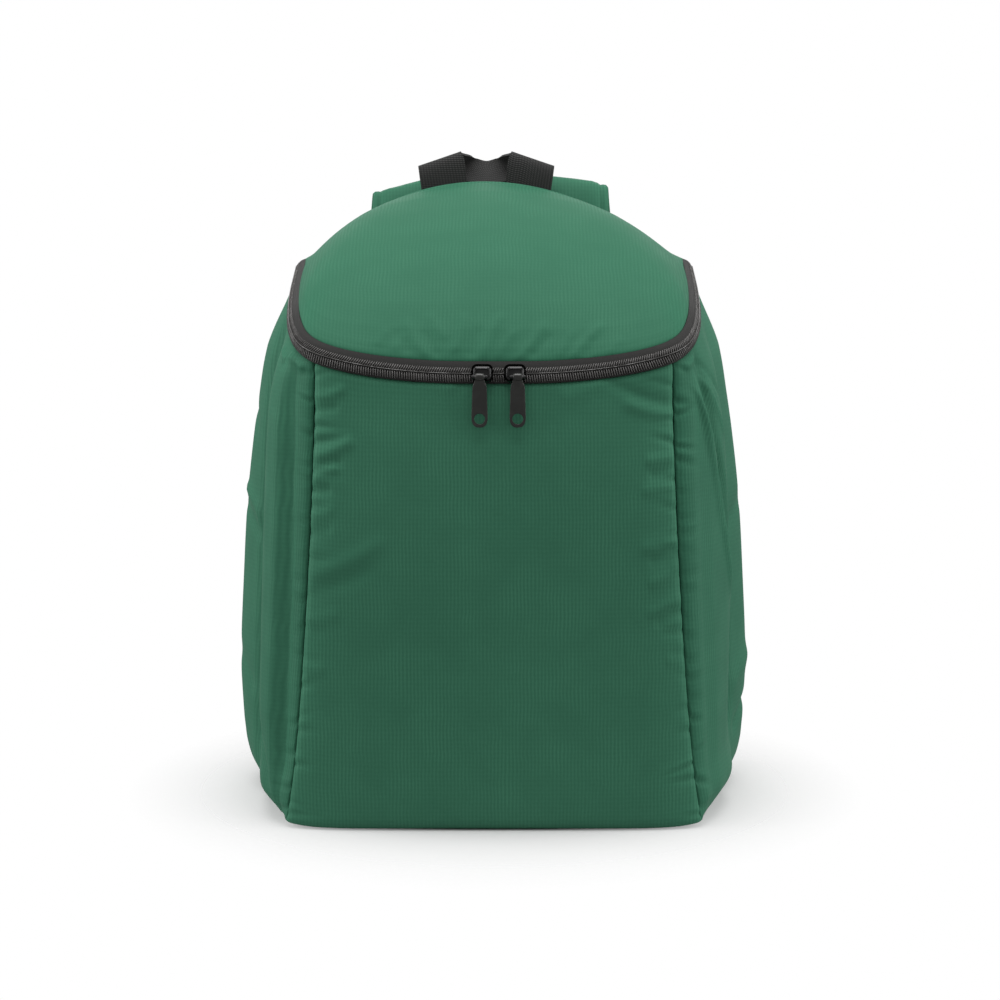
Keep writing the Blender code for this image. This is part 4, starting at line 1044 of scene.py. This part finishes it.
def slider_body():
    """A slider around its own middle: x towards its nose, y across the chain, z out of it."""
    only()
    bpy.ops.mesh.primitive_cube_add(size=1.0, location=(BODY_AHEAD, 0, BODY_OFF + BODY_DEEP / 2))
    body = bpy.context.object
    body.scale = (BODY_LONG, BODY_WIDE, BODY_DEEP)
    bpy.ops.object.transform_apply(location=True, rotation=False, scale=True)
    for edge in body.data.edges:
        a, b = (body.data.vertices[v].co for v in edge.vertices)
        edge.select = abs(a.z - b.z) > BODY_DEEP / 2
    bpy.ops.object.mode_set(mode="EDIT")
    bpy.ops.mesh.select_mode(type="EDGE")
    bpy.ops.mesh.bevel(offset=0.0030, segments=6, affect="EDGES")
    bpy.ops.object.mode_set(mode="OBJECT")
    pick_faces(body, 0.9)
    bpy.ops.mesh.inset(thickness=0.0010)
    bpy.ops.mesh.extrude_region_move(TRANSFORM_OT_translate={"value": (0, 0, -0.0011)})
    bpy.ops.object.mode_set(mode="OBJECT")
    soften(body, 0.00032)
    parts = [body]
    for end in (-1, 1):
        bpy.ops.mesh.primitive_cube_add(size=1.0, location=(end * POST_OUT, -BAR_BELOW, POST_MIDDLE))
        post = bpy.context.object
        post.scale = POST_SIZE
        bpy.ops.object.transform_apply(location=True, rotation=False, scale=True)
        soften(post, 0.0003)
        parts.append(post)
    bar_place = (0, -BAR_BELOW, BAR_RAISE)
    bpy.ops.mesh.primitive_cylinder_add(
        vertices=20, radius=BAR_RADIUS, depth=2 * POST_OUT + 0.0014, location=bar_place,
        rotation=(0, math.pi / 2, 0))
    bar = bpy.context.object
    bpy.ops.object.transform_apply(location=True, rotation=True, scale=True)
    soften(bar, 0.0003, 3)
    parts.append(bar)
    for part in parts:
        part.select_set(True)
    bpy.context.view_layer.objects.active = body
    bpy.ops.object.join()
    return body


# %% Pulls
PULL_WIDTH, PULL_DROP, PULL_THICK = 0.0088, 0.0275, 0.0014
WINDOW_RADIUS, WINDOW_UP, RIM_POINTS = 0.0029, 0.0047, 64
PULL_OUTLINE = (
    # half width share, way down share
    (0.30, 0.050), (0.62, 0.055), (0.64, 0.110), (0.80, 0.150), (0.87, 0.200), (0.90, 0.300),
    (0.93, 0.450), (0.97, 0.650), (1.0, 0.780), (0.97, 0.870), (0.84, 0.935), (0.62, 0.978),
    (0.32, 0.996),
)


def pull_tab():
    """A pull around its own hinge: x across, z up, y out."""
    right = [(PULL_WIDTH / 2 * a, -PULL_DROP * b) for a, b in PULL_OUTLINE]
    left = [(-x, z) for x, z in right[::-1]]
    rim = np.array(right + [(0.0, -PULL_DROP)] + left + [(0.0, -0.05 * PULL_DROP)])
    rim = np.concatenate([rim, rim[:1]])
    far = distance_along(rim)
    even = np.linspace(0, far[-1], RIM_POINTS + 1)[:-1]
    rim = np.stack([np.interp(even, far, rim[:, 0]), np.interp(even, far, rim[:, 1])], axis=1)
    centre = np.array((0.0, WINDOW_UP - PULL_DROP))
    turn = np.unwrap(np.arctan2(*(rim - centre).T[::-1]))
    round_turn = np.sign(turn[-1] - turn[0]) * np.arange(RIM_POINTS) * 2 * math.pi / RIM_POINTS
    turn = 0.35 * turn + 0.65 * (turn[0] + round_turn)
    window = centre + WINDOW_RADIUS * np.stack([np.cos(turn), np.sin(turn)], axis=1)
    loops = []
    for line in (rim, window):
        only()
        bpy.ops.mesh.primitive_circle_add(vertices=RIM_POINTS, radius=1.0)
        loop = bpy.context.object
        for vertex, (x, z) in zip(loop.data.vertices, line):
            vertex.co = (x, 0.0, z)
        loops.append(loop)
    only(loops[0])
    loops[1].select_set(True)
    bpy.ops.object.join()
    tab = bpy.context.object
    bpy.ops.object.mode_set(mode="EDIT")
    bpy.ops.mesh.select_all(action="SELECT")
    bpy.ops.mesh.bridge_edge_loops()
    bpy.ops.object.mode_set(mode="OBJECT")
    plate = tab.modifiers.new("plate", "SOLIDIFY")
    plate.thickness, plate.offset = PULL_THICK, 0.0
    bpy.ops.object.modifier_apply(modifier=plate.name)
    soften(tab, 0.00034, 3)
    bpy.ops.mesh.primitive_torus_add(
        major_segments=28, minor_segments=12, major_radius=0.0016, minor_radius=0.0005,
        rotation=(0, math.pi / 2, 0))
    eye = bpy.context.object
    eye.scale = (1.0, 1.0, 5.0)
    bpy.ops.object.transform_apply(location=False, rotation=True, scale=True)
    tab.select_set(True)
    bpy.context.view_layer.objects.active = tab
    bpy.ops.object.join()
    return tab


def stand(made, name, place, material, body, node):
    """Sets every vertex in the frame and hangs the piece on its body."""
    made.name = made.data.name = name
    for vertex in made.data.vertices:
        vertex.co = place(np.array(vertex.co)) + np.array((0.0, SHIFT, 0.0))
    face_out(made)
    bpy.ops.object.shade_smooth_by_angle(angle=math.radians(40))
    made.data.materials.clear()
    made.data.materials.append(material)
    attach(made, body)
    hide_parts(node)
    print(name, len(made.data.polygons), "faces")


for side, word in ((-1, "left"), (1, "right")):
    here = (SLIDER_MIDDLE + side * SLIDER_OFF) / HALF_ZIP[1][0]
    point, run, face, up = zip_at(here)
    hinge = point + face * BAR_RAISE - up * BAR_BELOW
    stand(slider_body(), "slider_body_" + word,
          lambda p: point - side * run * p[0] + up * p[1] + face * p[2],
          SLIDER_BLACK, "bag", "slider_" + word)
    stand(pull_tab(), "pull_tab_" + word, lambda p: hinge + p,
          PULL_BLACK, "pull_" + word, "pull_" + word)
    print("hinge", (hinge + np.array((0, SHIFT, 0))).round(5))

# %% [markdown]
# ## Handle and straps
# The carry handle is 25 mm webbing, sewn flat to the back panel and bent forwards over its top. A
# flat strip that turns over can't be swept along one curve, so its two edges have a table each,
# and the grid is laid between them.

# %% Handle
WEB, WEB_THICK, WEB_OFF = 0.0254, 0.0016, 0.0009    # width, thickness, middle off what it lies on
HANDLE_ACROSS = -0.0047
HANDLE_FOOT = (GAP + WEB_OFF) / WEB
HANDLE_ROWS = (
    # lower edge across, off the back, height; upper edge the same, heights from the arch's top
    (-1.490, HANDLE_FOOT, -1.102, -0.480, HANDLE_FOOT, -1.102),
    (-1.490, HANDLE_FOOT, -0.394, -0.440, HANDLE_FOOT, -0.394),
    (-1.551, 0.055, 0.118, -0.500, 0.055, 0.433), (-1.575, 0.126, 0.335, -0.575, 0.126, 0.664),
    (-1.535, 0.217, 0.236, -0.551, 0.228, 0.640), (-1.299, 0.264, 0.020, -0.374, 0.461, 0.590),
    (-0.700, 0.290, 0.020, -0.250, 0.780, 0.520), (0.000, 0.295, -0.070, 0.000, 1.000, 0.430),
)
half = [np.array(row) for row in HANDLE_ROWS]
handle_rows = half + [row * np.array((-1, 1, 1, -1, 1, 1)) for row in half[-2::-1]]


def ribbon_surface(rows_at, count, columns=17):
    """Points between the two edges that rows_at gives for a share of the way."""
    edges = np.array([rows_at(k / count) for k in range(count + 1)])
    low, high = edges[:, 0], edges[:, 1]
    shares = np.linspace(0.0, 1.0, columns)[None, :, None]
    return low[:, None] * (1 - shares) + high[:, None] * shares


def handle_at(share):
    row = along(handle_rows, share * (len(handle_rows) - 1)) * WEB
    row += np.array((HANDLE_ACROSS, BACK_OUT, ARCH_TOP) * 2)
    return row[:3], row[3:]


woven_ribbon("handle_webbing", ribbon_surface(handle_at, 260), WEB_THICK, WEB_BLACK,
             "grab_handle")

# %% [markdown]
# Each shoulder strap is a padded tube of the same cloth, sewn flat on the back panel's top and bent
# down behind it, with a stitched and bound edge. A grid rolled around its path and joined along
# its seam gives that section in one go. A webbing tail takes its lower end back to the panel.

# %% Shoulder straps
STRAP_ACROSS = {-1: 0.0396, 1: 0.0350}
STRAP_LEAN = {-1: 0.25, 1: 0.10}
STRAP_SAG = {-1: -0.0042, 1: -0.0055}
STRAP_WIDTH, STRAP_THICK, STRAP_BOW, STRAP_SPREAD, TAIL_WIDTH = 0.0658, 0.008, 0.040, 0.029, 0.020
STRAP_FOOT = (GAP + STRAP_THICK / 2) / STRAP_BOW
STRAP_ROWS = (
    # off back, height, out, how much it leans and sags
    (STRAP_FOOT, 0.8143, 0.000, 0.0), (STRAP_FOOT, 0.8571, 0.000, 0.0), (0.170, 0.9086, 0.000, 0.2),
    (0.250, 0.9457, 0.000, 0.7), (0.438, 0.9786, 0.000, 1.0), (0.662, 0.9686, 0.017, 1.0),
    (0.800, 0.9257, 0.069, 0.7), (0.900, 0.8429, 0.207, 0.2), (0.988, 0.7143, 0.448, 0.0),
    (1.000, 0.5714, 0.690, 0.0), (0.912, 0.4429, 0.862, 0.0), (0.750, 0.3286, 1.000, 0.0),
)
TAIL_LAP = (10.3, 11.0)    # where along the strap the tail lies on it
TAIL_FOOT = (GAP + WEB_OFF) / STRAP_BOW
TAIL_ROWS = (
    # off back, height, out
    (0.662, 0.2514, 1.103), (0.325, 0.1771, 1.276), (0.087, 0.1286, 1.414),
    (TAIL_FOOT, 0.1029, 1.448), (TAIL_FOOT, 0.0543, 1.483),
)


def strap_at(t, side):
    """Middle point, width direction and face direction of a shoulder strap."""
    scale = np.array((STRAP_BOW, ARCH_TOP, STRAP_SPREAD, 1.0))
    off, height, out, much = along(STRAP_ROWS, t) * scale
    ahead = (along(STRAP_ROWS, t + 0.02) - along(STRAP_ROWS, t - 0.02)) * scale
    height -= STRAP_SAG[side] * much
    point = np.array((side * (STRAP_ACROSS[side] + out), BACK_OUT + off, height))
    run = unit((side * ahead[2], ahead[0], ahead[1]))
    wide = unit((side, 0.0, -STRAP_LEAN[side] * much))
    wide = unit(wide - run * wide.dot(run))
    return point, wide, unit(np.cross(run, wide)) * -side


PAD_HALF = (
    # share of the half width, half thickness in mm: the pad, its stitched edge and the binding
    (0.00, 4.0), (0.40, 3.9), (0.70, 3.5), (0.81, 2.6), (0.855, 1.5), (0.90, 1.9), (0.96, 1.8),
    (1.00, 0.3),
)
over_shares = np.concatenate(
    [np.linspace(-1, -0.78, 12), np.linspace(-0.70, 0.70, 15), np.linspace(0.78, 1, 12)])
pad_half = np.interp(np.abs(over_shares), *zip(*PAD_HALF)) * 0.001
ring_over = np.concatenate([over_shares, over_shares[::-1], over_shares[:1]])
ring_up = np.concatenate([pad_half, -pad_half[::-1], pad_half[:1]])
for side, word in ((-1, "left"), (1, "right")):
    rings = []
    for t in np.linspace(0.0, len(STRAP_ROWS) - 1, 200):
        point, wide, face = strap_at(t, side)
        rings.append(point + wide * (ring_over * STRAP_WIDTH / 2)[:, None] + face * ring_up[:, None])
    made = lay("strap_pad_" + word, np.array(rings))
    close_up(made)
    made.data.materials.append(STRAP_GREEN)
    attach(made, "bag")
    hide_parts("shoulder_strap_" + word)
    lines = []
    for t in TAIL_LAP:
        point, wide, face = strap_at(t, side)
        face = face if face[1] > 0 else -face
        lines.append(point + face * (STRAP_THICK / 2 + GAP + WEB_OFF))
    for off, height, out in TAIL_ROWS:
        over = side * (STRAP_ACROSS[side] + out * STRAP_SPREAD)
        lines.append(np.array((over, BACK_OUT + off * STRAP_BOW, height * ARCH_TOP)))

    def tail_at(share):
        middle, half_wide = along(lines, share * (len(lines) - 1)), np.array((TAIL_WIDTH / 2, 0, 0))
        return middle - half_wide, middle + half_wide

    woven_ribbon("tail_webbing_" + word, ribbon_surface(tail_at, 110), WEB_THICK, WEB_BLACK,
                 "strap_tail_" + word)
